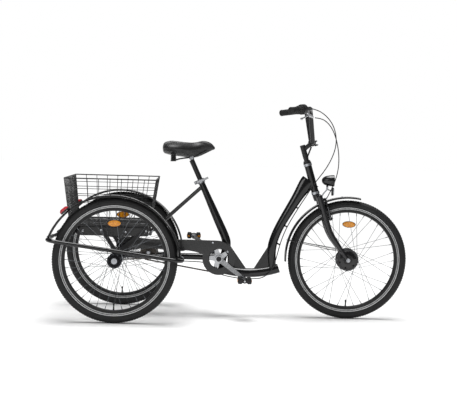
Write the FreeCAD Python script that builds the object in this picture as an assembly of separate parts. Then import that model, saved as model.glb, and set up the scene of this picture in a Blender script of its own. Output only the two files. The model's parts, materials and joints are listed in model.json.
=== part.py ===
import FreeCAD, Part
import math
import os

# Adult tricycle: two rear wheels on one axle, a low step-through frame, a wire luggage basket,
# chain drive through a three-speed hub, and a steered front wheel with a rim brake.
# Millimetres. +X forward, +Y to the rider's left, +Z up.
# Everything is drawn from the rear axle (X = 0) with the ground at Z = 0, then moved by
# ROW_SHIFT, so that the origin lies on the ground under the middle of the tricycle.

# ---- wheels ----
WHEELBASE = 1152.0
TRACK = 650.0
WHEEL_R = 300.5
TYRE_W = 47.0
TYRE_WALL = 3.0
RIM_TOP_R = 259.0
RIM_BED_R = 252.0
RIM_IN_R = 238.0
RIM_W = 25.0
RIM_LIP = 1.5
SPOKES = 36
SPOKE_R = 1.0
SPOKE_CROSS = 3
FLANGE_T = 3.0
REAR_FLANGE_R = 35.0
REAR_FLANGE_Y = 28.0
FRONT_FLANGE_R = 56.0
FRONT_FLANGE_Y = 24.0
FRONT_AXLE_R = 5.0
AXLE_R = 10.0

# ---- fits ----
RUNNING_FIT = 0.05
AIR = 0.5

# ---- steering ----
HEAD_ANGLE = math.radians(73.0)
HEAD_BEHIND = 172.0
HEAD_X = WHEELBASE - HEAD_BEHIND
HEAD_Z = 640.0
HEAD_LENGTH = 135.0
STEERER_R = 14.3
STEERER_GAP = 1.7
HEAD_WALL = 2.5
HEAD_R = STEERER_R + STEERER_GAP + HEAD_WALL
CUP_R = HEAD_R + HEAD_WALL
CUP_H = 12.0
QUILL_R = 12.7
QUILL_TOP = 243.0
QUILL_FOOT = 60.0
LEG_Y = 50.0
LEG_R = 15.0
LEG_TIP_R = 9.0
LEG_AHEAD = 11.0
LEG_TOP = -30.0
LEG_CORNER = (WHEELBASE - 95.4, 432.0)
LEG_BEND = 250.0
CLAMP_UP = 242.0
CLAMP_AHEAD = 50.0
CLAMP_R = 18.0
CLAMP_HALF = 21.0

# ---- handlebar, right half with Y turned negative ----
BAR_R = 11.1
BAR_CENTRE_HALF = 48.0
BAR_RISE = (HEAD_X - 46.0, 112.0, 1046.0)
BAR_SHOULDER = (HEAD_X - 55.0, 190.0, 1052.0)
BAR_END = (HEAD_X - 160.0, 318.0, 1038.0)
BAR_BEND = 38.0
GRIP_R = 16.5
SHORT_GRIP = 58.0
LONG_GRIP = 128.0
SHIFTER_R = 25.0
TWIST_W = 29.5
SHIFTER_W = 25.0
LEVER_CLAMP = 118.0
LEVER_CLAMP_W = 14.0
LEVER_AT = 150.0
LEVER_DROP = 30.0

# ---- front brake ----
BRAKE_PIVOT_UP = -150.0
BRAKE_AHEAD = 38.0
BRAKE_Y = 41.0
BRAKE_ARM = 98.0
PAD_UP = 25.0
PAD_RADIUS = 247.0
ARM_R = 5.0
ARM_LEAN = 4.0
ARM_SWING = 7.0
NOTCH_ROOM = 2.0
PAD_GAP = 2.8
BOSS_R = 4.0

# ---- frame ----
SEAT_ANGLE = math.radians(65.0)
SEAT_X = WHEELBASE - 752.0
SEAT_Z = 684.0
SEAT_TUBE_R = 15.5
SEATPOST_R = 12.7
SEATPOST_IN = 154.0
SEATPOST_OUT = 110.0
CRANK_X = WHEELBASE - 650.0
CRANK_Z = 295.0
POST_BORE_END = 246.0
COLLAR_W = 20.0
COLLAR_R = 20.0
EAR_BACK = 27.0
QUICK_Y = 25.0
QUICK_PIN_R = 3.5
SHELL_R = 20.0
SHELL_HALF = 34.0
SPINDLE_R = 8.5
BOOM_R = 16.5
STAY_R = 11.0
STAY_Y = 72.0
STRUT_R = 9.5
GUIDES = ((HEAD_X - 82.5, 0, 553.5), (HEAD_X - 135.5, 0, 458), (HEAD_X - 170, -7.5, 367))

# ---- drive ----
CRANK_LENGTH = 160.0
CRANK_TILT = math.radians(-37.0)
CHAIN_PITCH = 12.7
RING_TEETH = 36
DRIVER_TEETH = 19
OUTPUT_TEETH = 20
AXLE_TEETH = 16
CHAINLINE = 48.0
SPIDER_ARMS = 5
SPROCKET_T = 2.0
TOOTH_TIP = 2.6
TOOTH_ROOT = 4.0
TOOTH_SHAPE = ((-0.36, -TOOTH_ROOT), (-0.13, TOOTH_TIP), (0.13, TOOTH_TIP), (0.36, -TOOTH_ROOT))
LINK_HALF = 4.2
LINK_SIDE = 3.4
LINK_SLOT = 1.4
HUB_X = 150.0
HUB_Z = 318.0
HUB_AXLE_R = 5.0
HUB_R = 33.0
CASE_R = 82.0
CASE_OPENING = 48.0
CASE_T = 1.6
CASE_OUT = 66.0
CASE_IN = 40.0
PEDAL_L = 72.0
PEDAL_W = 94.0
PEDAL_H = 28.0
PEDAL_Y = 102.0
PEDAL_AXLE_R = 5.0

# ---- rear carrier, guards and basket ----
LOOP_R = 9.5
LOOP_OUT = 60.0
LOOP_Y = TRACK / 2.0 + LOOP_OUT
LOOP_FRONT = (322.0, 309.0)
LOOP_BACK = (-320.0, 394.0)
LOOP_BEND = 42.0
LOOP_INNER = 120.0
LOOP_ROOT_X = 292.0
LOOP_ROOT_Y = 205.0
LOOP_JOG_Y = 232.0
JOG_BEND = 16.0
BEAM_Y = 160.0
BEAM_T = 8.0
BEAM_TOP = 446.0
BEAM_FOOT = 404.0
BEAM_FRONT = 152.0
BEAM_BACK = -254.0
RAIL_R = 8.0
HANGER_T = 6.0
INNER_BEARING_Y = 72.0
GUARD_CENTRE = (-13.0, 281.0)
GUARD_R = 334.0
FRONT_GUARD_R = 319.0
GUARD_W = 60.0
GUARD_T = 1.8
GUARD_CROWN = 60.0
BASKET_FLOOR = 463.0
BASKET_TOP = 690.0
BASKET_WALL = 4.0
BASKET_RIM = (-257.0, 190.0, 284.0)
BASKET_FOOT = (-228.0, 156.0, 250.0)

# ---- saddle and lamp ----
TAIL_TURN = 132.0
SADDLE_BACK = SEAT_X - 194.0
SADDLE_NOSE = SEAT_X + 74.0
SADDLE_HALF = 112.0
RAIL_Y = 22.0
RAIL_Z = 800.0
CLAMP_BELOW = 4.0
SADDLE_CLAMP_R = 13.0
TILT_GAP = 0.3
SADDLE_RAIL_R = 3.5
LAMP_X = HEAD_X + 50.0
LAMP_Z = 697.0
LAMP_R = 29.0
LAMP_PIVOT = (LAMP_X + 11.0, 661.0)
LUG_R = 5.0
LUG_HALF = 4.0
EAR_OUT = 7.0
PIN_R = 2.0
STEP_CENTRE = (CRANK_X + 146.0, 699.0)
STEP_BEND = 478.0
STEP_R = 23.0
CABLE_R = 2.4
OVAL_POINTS = 16

LOOP_REACH = LOOP_BACK[0] - LOOP_R
ROW_SHIFT = -(WHEELBASE + WHEEL_R + LOOP_REACH) / 2.0


# ---- helpers ----
def vec(x, y, z):
    return FreeCAD.Vector(x, y, z)


Y_AXIS = vec(0, 1, 0)
HEAD_UP = vec(-math.cos(HEAD_ANGLE), 0, math.sin(HEAD_ANGLE))
HEAD_AHEAD = vec(math.sin(HEAD_ANGLE), 0, math.cos(HEAD_ANGLE))
SEAT_UP = vec(-math.cos(SEAT_ANGLE), 0, math.sin(SEAT_ANGLE))
SEAT_AHEAD = vec(math.sin(SEAT_ANGLE), 0, math.cos(SEAT_ANGLE))
REAR_AXLE = vec(0, 0, WHEEL_R)
FRONT_AXLE = vec(WHEELBASE, 0, WHEEL_R)
CRANK = vec(CRANK_X, 0, CRANK_Z)
HUB = vec(HUB_X, 0, HUB_Z)


def at_head(up, ahead=0.0, y=0.0):
    """A point measured up the steering axis, ahead of it and to the left."""
    return vec(HEAD_X, y, HEAD_Z) + HEAD_UP * up + HEAD_AHEAD * ahead


def at_seat(up, ahead=0.0, y=0.0):
    """A point measured up the seat tube's axis from its top, ahead of it and to the left."""
    return vec(SEAT_X, y, SEAT_Z) + SEAT_UP * up + SEAT_AHEAD * ahead


def rod(start, end, radius):
    along = end - start
    return Part.makeCylinder(radius, along.Length, start, along)


def pipe(start, end, radius, bore):
    return rod(start, end, radius).cut(rod(start, end, bore))


def cone(start, end, r_start, r_end):
    along = end - start
    return Part.makeCone(r_start, r_end, along.Length, start, along)


def across(centre, y_from, y_to, radius):
    """A round bar parallel to Y through a centre."""
    return rod(vec(centre.x, y_from, centre.z), vec(centre.x, y_to, centre.z), radius)


def box(x_from, x_to, y_from, y_to, z_from, z_to):
    return Part.makeBox(x_to - x_from, y_to - y_from, z_to - z_from, vec(x_from, y_from, z_from))


def plate(outline, y_from, y_to):
    """An XZ outline of straight edges, pushed along Y."""
    corners = [vec(x, y_from, z) for x, z in outline]
    face = Part.Face(Part.makePolygon(corners + corners[:1]))
    return face.extrude(vec(0, y_to - y_from, 0))


def smooth_plate(outline, y_from, y_to):
    """An XZ outline of one closed curve, pushed along Y."""
    curve = Part.BSplineCurve()
    curve.interpolate([vec(x, y_from, z) for x, z in outline], PeriodicFlag=True)
    return Part.Face(Part.Wire(curve.toShape())).extrude(vec(0, y_to - y_from, 0))


def fused(shapes):
    whole = shapes[0]
    for shape in shapes[1:]:
        whole = whole.fuse(shape)
    return whole.removeSplitter()


def mirrored(shape):
    return shape.mirror(vec(0, 0, 0), Y_AXIS)


def both_sides(shape):
    return [shape, mirrored(shape)]


def spin(outline, centre):
    """An outline of (radius, y) corners, turned round the Y axis through a centre."""
    corners = [vec(centre.x + radius, centre.y + y, centre.z) for radius, y in outline]
    face = Part.Face(Part.makePolygon(corners + corners[:1]))
    return face.revolve(centre, Y_AXIS, 360)


def path(points, radii):
    """Straight runs joined by tangent arcs at the inner points."""
    edges = []
    start = points[0]
    for before, corner, after, radius in zip(points, points[1:], points[2:], radii):
        back = (before - corner).normalize()
        on = (after - corner).normalize()
        half = (math.pi - back.getAngle(on)) / 2.0
        reach = radius * math.tan(half)
        bisector = (back + on).normalize()
        centre = corner + bisector * (radius / math.cos(half))
        first = corner + back * reach
        last = corner + on * reach
        edges.append(Part.LineSegment(start, first).toShape())
        edges.append(Part.Arc(first, centre - bisector * radius, last).toShape())
        start = last
    edges.append(Part.LineSegment(start, points[-1]).toShape())
    return Part.Wire(edges)


def bent(points, radii, radius):
    """A round bar along a path."""
    line = path(points, radii)
    ring = Part.Wire(Part.makeCircle(radius, points[0], points[1] - points[0]))
    return line.makePipeShell([ring], True, False)


def cable_radii(name, points):
    """Arcs as large as their runs allow; the radii are printed to be checked."""
    radii = []
    for before, corner, after in zip(points, points[1:], points[2:]):
        back = before - corner
        on = after - corner
        half = (math.pi - back.getAngle(on)) / 2.0
        radii.append(0.45 * min(back.Length, on.Length) / math.tan(half))
    print(name, "radii", [round(r) for r in radii])
    return radii


def cable(name, points, radius):
    line = path(points, cable_radii(name, points))
    ring = Part.Wire(Part.makeCircle(radius, points[0], points[1] - points[0]))
    solid = line.makePipeShell([ring], True, False)
    section = math.pi * radius * radius * line.Length
    print(name, "length", round(line.Length), "volume ratio", round(solid.Volume / section, 3))
    return solid


def oval(centre, reach_a, reach_b):
    """A closed curve that starts at centre + reach_a, so that every ring of a loft lines up."""
    curve = Part.BSplineCurve()
    turns = [2.0 * math.pi * i / OVAL_POINTS for i in range(OVAL_POINTS)]
    ring = [centre + reach_a * math.cos(t) + reach_b * math.sin(t) for t in turns]
    curve.interpolate(ring, PeriodicFlag=True)
    return Part.Wire(curve.toShape())


def loft(stations):
    """An oval tube: each station is centre, direction, half depth in XZ, half width in Y."""
    rings = []
    for centre, along, depth, width in stations:
        side = along.cross(Y_AXIS).normalize()
        rings.append(oval(centre, side * depth, Y_AXIS * width))
    return Part.makeLoft(rings, True, False)


def pitch_radius(teeth):
    return CHAIN_PITCH / (2.0 * math.sin(math.pi / teeth))


def sprocket(centre, teeth, y, bore):
    radius = pitch_radius(teeth)
    corners = []
    for i in range(teeth):
        for share, reach in TOOTH_SHAPE:
            turn = 2.0 * math.pi * (i + share) / teeth
            corners.append((centre.x + (radius + reach) * math.cos(turn),
                            centre.z + (radius + reach) * math.sin(turn)))
    disc = plate(corners, y - SPROCKET_T / 2.0, y + SPROCKET_T / 2.0)
    return disc.cut(across(centre, y - SPROCKET_T, y + SPROCKET_T, bore))


def belt_face(c1, r1, c2, r2, y):
    """The area inside a taut loop round two circles."""
    gap = math.hypot(c2.x - c1.x, c2.z - c1.z)
    lean = math.atan2(c2.z - c1.z, c2.x - c1.x)
    swing = math.acos((r1 - r2) / gap)

    def rim(c, r, turn):
        return vec(c.x + r * math.cos(turn), y, c.z + r * math.sin(turn))

    edges = [
        Part.Arc(rim(c1, r1, lean + swing), rim(c1, r1, lean + math.pi), rim(c1, r1, lean - swing)).toShape(),
        Part.LineSegment(rim(c1, r1, lean - swing), rim(c2, r2, lean - swing)).toShape(),
        Part.Arc(rim(c2, r2, lean - swing), rim(c2, r2, lean), rim(c2, r2, lean + swing)).toShape(),
        Part.LineSegment(rim(c2, r2, lean + swing), rim(c1, r1, lean + swing)).toShape(),
    ]
    return Part.Face(Part.Wire(edges))


def belt(c1, r1, c2, r2, y_from, y_to):
    return belt_face(c1, r1, c2, r2, y_from).extrude(vec(0, y_to - y_from, 0))


def chain(c1, teeth1, c2, teeth2, y):
    r1 = pitch_radius(teeth1)
    r2 = pitch_radius(teeth2)
    outside = belt(c1, r1 + LINK_HALF, c2, r2 + LINK_HALF, y - LINK_SIDE, y + LINK_SIDE)
    inside = belt(c1, r1 - LINK_HALF, c2, r2 - LINK_HALF, y - LINK_SIDE, y + LINK_SIDE)
    reach = TOOTH_TIP + AIR
    slot = belt(c1, r1 + reach, c2, r2 + reach, y - LINK_SLOT, y + LINK_SLOT)
    return outside.cut(inside).cut(slot)


def save(name, shapes):
    """Writes one node, moved to the row's origin."""
    whole = shapes[0] if len(shapes) == 1 else Part.makeCompound(shapes)
    whole = whole.copy()
    whole.translate(vec(ROW_SHIFT, 0, 0))
    bad = [s for s in whole.Solids if not s.isValid()]
    if bad or not whole.Solids:
        print("CHECK", name, len(whole.Solids), "solids,", len(bad), "not valid")
    whole.exportStep("parts/" + name + ".step")


# ---- wheels ----
def tyre(centre, rim_solid):
    """A hollow tyre whose beads sit in the rim."""
    middle = WHEEL_R - TYRE_W / 2.0
    outside = Part.makeTorus(middle, TYRE_W / 2.0, centre, Y_AXIS)
    inside = Part.makeTorus(middle, TYRE_W / 2.0 - TYRE_WALL, centre, Y_AXIS)
    half = TYRE_W
    well = rod(centre - Y_AXIS * half, centre + Y_AXIS * half, RIM_TOP_R - 1.0)
    return outside.cut(inside).cut(rim_solid).cut(well)


def rim(centre):
    half = RIM_W / 2.0
    outline = [(RIM_IN_R, -half / 2), (RIM_IN_R + 4, -half), (RIM_TOP_R, -half), (RIM_TOP_R, RIM_LIP - half),
               (RIM_BED_R, RIM_LIP - half), (RIM_BED_R, half - RIM_LIP), (RIM_TOP_R, half - RIM_LIP),
               (RIM_TOP_R, half), (RIM_IN_R + 4, half), (RIM_IN_R, half / 2)]
    return spin(outline, centre)


def spokes(centre, flange_r, flange_y):
    """Crossed spokes: half to each flange, pulling alternately forwards and backwards."""
    bars = []
    step = 2.0 * math.pi / SPOKES
    for i in range(SPOKES):
        side = 1 if i % 2 else -1
        lead = 1 if (i // 2) % 2 else -1
        turn = i * step
        hub_turn = turn + lead * SPOKE_CROSS * 2.0 * step
        hub_y = side * (flange_y + lead * (FLANGE_T / 2.0 + SPOKE_R))
        foot = centre + vec((flange_r - 4) * math.cos(hub_turn), hub_y, (flange_r - 4) * math.sin(hub_turn))
        top = centre + vec(RIM_IN_R * math.cos(turn), side * 3.0, RIM_IN_R * math.sin(turn))
        bars.append(rod(foot, top, SPOKE_R))
    return bars


def hub_shell(centre, barrel_r, flange_r, flange_y, end_y, bore, cavity_r):
    """A turned hub with two spoke flanges, hollow when cavity_r is larger than the bore."""
    inner = flange_y - FLANGE_T / 2.0
    outer = flange_y + FLANGE_T / 2.0
    outline = [(bore, -end_y), (barrel_r, -end_y), (barrel_r, -outer), (flange_r, -outer), (flange_r, -inner),
               (barrel_r, -inner), (barrel_r, inner), (flange_r, inner), (flange_r, outer),
               (barrel_r, outer), (barrel_r, end_y), (bore, end_y)]
    if cavity_r > bore:
        outline += [(bore, inner), (cavity_r, inner), (cavity_r, -inner), (bore, -inner)]
    return spin(outline, centre)


def make_wheels():
    rear_y = TRACK / 2.0
    end_y = REAR_FLANGE_Y + 6
    loose = AXLE_R + RUNNING_FIT
    places = (
        ("right", REAR_AXLE - Y_AXIS * rear_y, (20, REAR_FLANGE_R, REAR_FLANGE_Y, end_y, AXLE_R, 0)),
        ("left", REAR_AXLE + Y_AXIS * rear_y, (20, REAR_FLANGE_R, REAR_FLANGE_Y, end_y, loose, 0)),
        ("front", FRONT_AXLE, (50, FRONT_FLANGE_R, FRONT_FLANGE_Y, 29, FRONT_AXLE_R + RUNNING_FIT, 45)),
    )
    for side, centre, sizes in places:
        ring = rim(centre)
        wires = spokes(centre, sizes[1], sizes[2])
        save("rim_" + side, [ring])
        save("tyre_" + side, [tyre(centre, ring)])
        save("spokes_" + side, wires)
        save("hub_" + side, [hub_shell(centre, *sizes).cut(Part.makeCompound(wires))])


# ---- main frame ----
def down_tube():
    """Deep at the head tube, then round, bending to stand upright on the step tube."""
    slope = (at_head(66) - vec(HEAD_X - 180, 0, 460)).normalize()
    foot = vec(0.0, 0.0, 1.0)
    stations = [
        (at_head(56, -6), slope, 48, 17),
        (vec(HEAD_X - 49, 0, 670), slope, 38, 18),
        (vec(HEAD_X - 79, 0, 626), slope, 29, 19),
        (vec(HEAD_X - 124, 0, 549), slope, 24.5, 20),
        (vec(HEAD_X - 165, 0, 476), (slope + foot * 0.15).normalize(), 22.5, 20.5),
        (vec(HEAD_X - 199, 0, 398), (slope + foot * 0.9).normalize(), 22.5, 21),
        (vec(HEAD_X - 211, 0, 325), foot, 22.5, 21),
        (vec(HEAD_X - 212, 0, 232), foot, 22.5, 21),
    ]
    return loft(stations)


def step_tube():
    """One wide arc from under the crank to an open front end."""
    start = math.radians(252.0)
    end = math.radians(289.4)

    def along(turn):
        return vec(STEP_CENTRE[0] + STEP_BEND * math.cos(turn), 0,
                   STEP_CENTRE[1] + STEP_BEND * math.sin(turn))

    arc = Part.Wire(Part.Arc(along(start), along((start + end) / 2), along(end)).toShape())
    heading = vec(-math.sin(start), 0, math.cos(start))
    tube = arc.makePipeShell([Part.Wire(Part.makeCircle(STEP_R, along(start), heading))], True, False)
    mouth = along(end)
    tip = vec(-math.sin(end), 0, math.cos(end))
    return tube.cut(rod(mouth - tip * 16, mouth + tip * 4, STEP_R - 2.5))


def seat_tube():
    lean = SEAT_UP
    foot = vec(0.0, 0.0, 1.0)
    top = [(at_seat(0), lean, SEAT_TUBE_R, SEAT_TUBE_R), (at_seat(-20), lean, SEAT_TUBE_R, SEAT_TUBE_R),
           (at_seat(-80), lean, 16.5, SEAT_TUBE_R), (at_seat(-164), lean, 19.0, 17.0),
           (at_seat(-229), lean, 20.5, 18.0)]
    low = [(vec(CRANK_X + 25, 0, 412), (lean + foot * 0.5).normalize(), 21.5, 19.0),
           (vec(CRANK_X + 38, 0, 350), (lean + foot * 3).normalize(), 22.0, 20.0),
           (vec(CRANK_X + 42, 0, 236), foot, 22.0, 20.0)]
    return loft(top + low)


def gussets():
    """Side webs that fill the two corners of the low step."""
    front = plate([(246, 352), (180, 245), (198, 232), (262, 240), (262, 352)], -9, 9)
    rear = plate([(54, 362), (138, 246), (118, 232), (46, 236), (44, 350)], -9, 9)
    return [web.translated(vec(CRANK_X, 0, 0)) for web in (front, rear)]


def cable_guides():
    """Short studs on the front of the down tube, on which the gear cable rests."""
    out = vec(2, 0, -1).normalize()
    return [rod(vec(*end) - out * 20, vec(*end) - out * (CABLE_R + 0.3), 4) for end in GUIDES]


def main_frame():
    head_tube = rod(at_head(0), at_head(HEAD_LENGTH), HEAD_R)
    shell = across(CRANK, -SHELL_HALF, SHELL_HALF, SHELL_R)
    upper = fused([head_tube, down_tube(), step_tube()] + gussets() + [seat_tube(), shell] + cable_guides())
    bore = rod(at_head(-1), at_head(HEAD_LENGTH + 1), STEERER_R + STEERER_GAP)
    spindle_bore = across(CRANK, -SHELL_HALF - 1, SHELL_HALF + 1, SHELL_R - 3)
    post_bore = rod(at_seat(2), at_seat(-POST_BORE_END), SEATPOST_R + RUNNING_FIT)
    return upper.cut(bore).cut(spindle_bore).cut(post_bore)


def boom():
    """The tube from the crank shell back to the fork of the two rear stays."""
    return rod(vec(CRANK_X - 11, 0, 297), vec(264, 0, 297), BOOM_R).cut(across(CRANK, -40, 40, SHELL_R))


def rear_stays(boom_solid):
    stays = []
    for side in (-1, 1):
        points = [vec(286, side * 6, 298), vec(226, side * STAY_Y, 299), vec(34, side * STAY_Y, WHEEL_R)]
        stay = bent(points, [40], STAY_R)
        lug = plate([(40, 288), (40, 314), (-16, 318), (-22, 300), (-16, 284)],
                    side * STAY_Y - HANGER_T / 2, side * STAY_Y + HANGER_T / 2)
        eye = across(REAR_AXLE, side * STAY_Y - 10, side * STAY_Y + 10, AXLE_R + 10)
        dropout = plate([(HUB_X - 16, 300), (HUB_X + 16, 300), (HUB_X + 11, HUB_Z + 10), (HUB_X - 11, HUB_Z + 10)],
                        side * STAY_Y - 2.5, side * STAY_Y + 2.5)
        stay = fused([stay, lug, eye, dropout])
        stay = stay.cut(across(REAR_AXLE, side * STAY_Y - 11, side * STAY_Y + 11, AXLE_R + 6))
        stay = stay.cut(across(HUB, side * STAY_Y - 4, side * STAY_Y + 4, HUB_AXLE_R))
        stays.append(stay.cut(boom_solid))
    return stays


def seat_strut(frame):
    """From just under the seat collar to the carrier's front cross bar."""
    strut = rod(vec(SEAT_X + 10, 0, 651), vec(166, 0, 424), STRUT_R)
    for taken in (rod(at_seat(10), at_seat(-60), SEAT_TUBE_R), rod(at_seat(10), at_seat(-COLLAR_W - 1), COLLAR_R + 1),
                  across(vec(160, 0, 418), -BEAM_Y, BEAM_Y, RAIL_R), frame):
        strut = strut.cut(taken)
    return max(strut.Solids, key=lambda piece: piece.Volume)


def bearing_cups():
    """The head tube's two cups and the crank shell's two."""
    cups = [pipe(at_head(HEAD_LENGTH), at_head(HEAD_LENGTH + CUP_H), CUP_R, STEERER_R + 0.4),
            pipe(at_head(-CUP_H), at_head(0), CUP_R, STEERER_R + 0.4)]
    for side in (-1, 1):
        cup = across(CRANK, side * 20, side * (SHELL_HALF + 3), SHELL_R - 3)
        cups.append(cup.cut(across(CRANK, side * 19, side * (SHELL_HALF + 4), SPINDLE_R + RUNNING_FIT)))
    return cups


def make_frame(frame):
    middle = boom()
    save("main_frame", [frame])
    save("rear_stays", [middle] + rear_stays(middle))
    save("seat_strut", [seat_strut(frame)])
    save("bearing_cups", bearing_cups())


# ---- rear carrier ----
def carrier_beams():
    outline = [(BEAM_BACK, BEAM_TOP), (BEAM_FRONT, BEAM_TOP), (BEAM_FRONT, BEAM_FOOT + 4),
               (BEAM_FRONT - 6, BEAM_FOOT + 2), (-178, BEAM_FOOT), (BEAM_BACK, BEAM_FOOT + 30)]
    beam = plate(outline, -BEAM_Y - BEAM_T / 2, -BEAM_Y + BEAM_T / 2)
    rail_z = BEAM_TOP + RAIL_R
    rail = rod(vec(BEAM_BACK, -BEAM_Y, rail_z), vec(BEAM_FRONT, -BEAM_Y, rail_z), RAIL_R)
    return both_sides(fused([beam, rail]))


def carrier_bars(beams):
    """Cross bars between the beams, and the short rear bars that carry the guard loops."""
    bars = [across(vec(160, 0, 418), -BEAM_Y, BEAM_Y, RAIL_R)]
    for x in (-236, -110, 20, 132):
        bars.append(across(vec(x, 0, BEAM_TOP + RAIL_R), -BEAM_Y, BEAM_Y, RAIL_R))
    for side in (-1, 1):
        back = vec(LOOP_BACK[0] + LOOP_R + 1, side * (LOOP_INNER + 20), LOOP_BACK[1] + 4)
        bars.append(rod(back, vec(BEAM_BACK + 6, side * (BEAM_Y - 12), BEAM_TOP - 20), RAIL_R))
    solid_beams = Part.makeCompound(beams)
    return [bar.cut(solid_beams) for bar in bars]


def axle_hangers():
    """V plates that hang the axle from the carrier beams."""
    y_in = BEAM_Y + BEAM_T / 2
    y_out = y_in + HANGER_T
    front = plate([(152, 440), (128, 440), (-8, 330), (8, 312)], y_in, y_out)
    back = plate([(-92, 440), (-68, 440), (10, 322), (-10, 316)], y_in, y_out)
    eye = across(REAR_AXLE, y_in, y_out, 32)
    hanger = fused([front, back, eye]).cut(across(REAR_AXLE, y_in - 1, y_out + 1, AXLE_R + 4))
    return both_sides(hanger)


def axle_bearings():
    """Two outer bearings in round housings and two inner ones in the stays' eyes."""
    y_in = BEAM_Y + BEAM_T / 2 + HANGER_T
    housing = spin([(AXLE_R + RUNNING_FIT, y_in), (30, y_in), (30, y_in + 5), (24, y_in + 8), (24, y_in + 20),
                    (AXLE_R + RUNNING_FIT, y_in + 20)], REAR_AXLE)
    inner = across(REAR_AXLE, INNER_BEARING_Y - 10, INNER_BEARING_Y + 10, AXLE_R + 6)
    inner = inner.cut(across(REAR_AXLE, INNER_BEARING_Y - 11, INNER_BEARING_Y + 11, AXLE_R + RUNNING_FIT))
    return both_sides(housing) + both_sides(inner)


def guard_loop(side):
    """A bumper tube round one rear wheel."""
    front = vec(LOOP_FRONT[0], 0, LOOP_FRONT[1])
    back = vec(LOOP_BACK[0], 0, LOOP_BACK[1])
    out = Y_AXIS * side * LOOP_Y
    points = [vec(LOOP_ROOT_X, side * 2, front.z), vec(LOOP_ROOT_X, side * LOOP_ROOT_Y, front.z),
              front + Y_AXIS * side * LOOP_JOG_Y, front + out, back + out, back + Y_AXIS * side * LOOP_INNER]
    return bent(points, [JOG_BEND, JOG_BEND, LOOP_BEND, LOOP_BEND], LOOP_R)


def mudguard(centre, radius, start, end):
    """A crowned strip bent round the wheel between two angles, in degrees above +X."""
    half = GUARD_W / 2.0
    drop = GUARD_CROWN - math.sqrt(GUARD_CROWN ** 2 - half ** 2)

    def arc(r, width, fall):
        low = vec(centre.x + r - fall, centre.y - width, centre.z)
        top = vec(centre.x + r, centre.y, centre.z)
        return low, top, vec(centre.x + r - fall, centre.y + width, centre.z)

    outer = arc(radius, half, drop)
    inner = arc(radius - GUARD_T, half - GUARD_T / 2, drop)
    edges = [Part.Arc(*outer).toShape(), Part.LineSegment(outer[2], inner[2]).toShape(),
             Part.Arc(*inner).toShape(), Part.LineSegment(inner[0], outer[0]).toShape()]
    strip = Part.Face(Part.Wire(Part.__sortEdges__(edges)))
    strip.rotate(centre, Y_AXIS, -start)
    return strip.revolve(centre, Y_AXIS, start - end)


def guard_tabs(side):
    """Hold the two ends of one mudguard on top of its loop."""
    y = side * TRACK / 2.0
    tabs = []
    for (x, z), x_from, x_to in ((LOOP_FRONT, -10, 3), (LOOP_BACK, -3, 10)):
        tabs.append(box(x + x_from, x + x_to, y - 11, y + 11, z + 4, z + LOOP_R + 5))
    return tabs


def tail_light(side):
    """A red lens on a dark base, lying along the back of the mudguard."""
    turn = math.radians(TAIL_TURN)
    out = vec(math.cos(turn), 0, math.sin(turn))
    along = vec(math.sin(turn), 0, -math.cos(turn))
    centre = vec(GUARD_CENTRE[0], side * TRACK / 2.0, GUARD_CENTRE[1]) + out * (GUARD_R + 6)
    outlines = (((-24, 0), (22, 0), (24, 4), (12, 15), (-18, 15), (-25, 5)),
                ((-22, -10), (20, -10), (22, 0), (-24, 0)))
    pieces = []
    for outline in outlines:
        corners = [centre + along * u + out * w for u, w in outline]
        pieces.append(plate([(c.x, c.z) for c in corners], centre.y - 21, centre.y + 21))
    return pieces


def make_carrier():
    beams = carrier_beams()
    save("carrier_frame", beams + carrier_bars(beams))
    save("axle_hangers", axle_hangers())
    save("axle_bearings", axle_bearings())
    centre = vec(GUARD_CENTRE[0], 0, GUARD_CENTRE[1])
    middle = boom()
    stays = rear_stays(middle)
    guards = []
    lamps = []
    for side, name in ((-1, "right"), (1, "left")):
        loop = guard_loop(side).cut(middle)
        loop = max(loop.cut(Part.makeCompound(stays)).Solids, key=lambda piece: piece.Volume)
        guard = mudguard(centre + Y_AXIS * side * TRACK / 2.0, GUARD_R, 7.5, 158.0)
        save("guard_loop_" + name, [loop] + [tab.cut(loop).cut(guard) for tab in guard_tabs(side)])
        guards.append(guard)
        lens, base = tail_light(side)
        lamps += [lens, max(base.cut(guard).Solids, key=lambda piece: piece.BoundBox.ZMax)]
    save("rear_mudguards", guards)
    save("tail_lights", lamps)


def basket_body(offset, floor, top):
    """A tapered box: straight walls between a floor rectangle and a wider rim rectangle."""
    rings = []
    for (back, front, half), z in ((BASKET_FOOT, floor), (BASKET_RIM, top)):
        corners = [vec(back + offset, -half + offset, z), vec(front - offset, -half + offset, z),
                   vec(front - offset, half - offset, z), vec(back + offset, half - offset, z)]
        rings.append(Part.makePolygon(corners + corners[:1]))
    return Part.makeLoft(rings, True, True)


def basket():
    outside = basket_body(0.0, BASKET_FLOOR, BASKET_TOP)
    inside = basket_body(BASKET_WALL, BASKET_FLOOR + BASKET_WALL, BASKET_TOP + BASKET_WALL)
    return outside.cut(inside)


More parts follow.
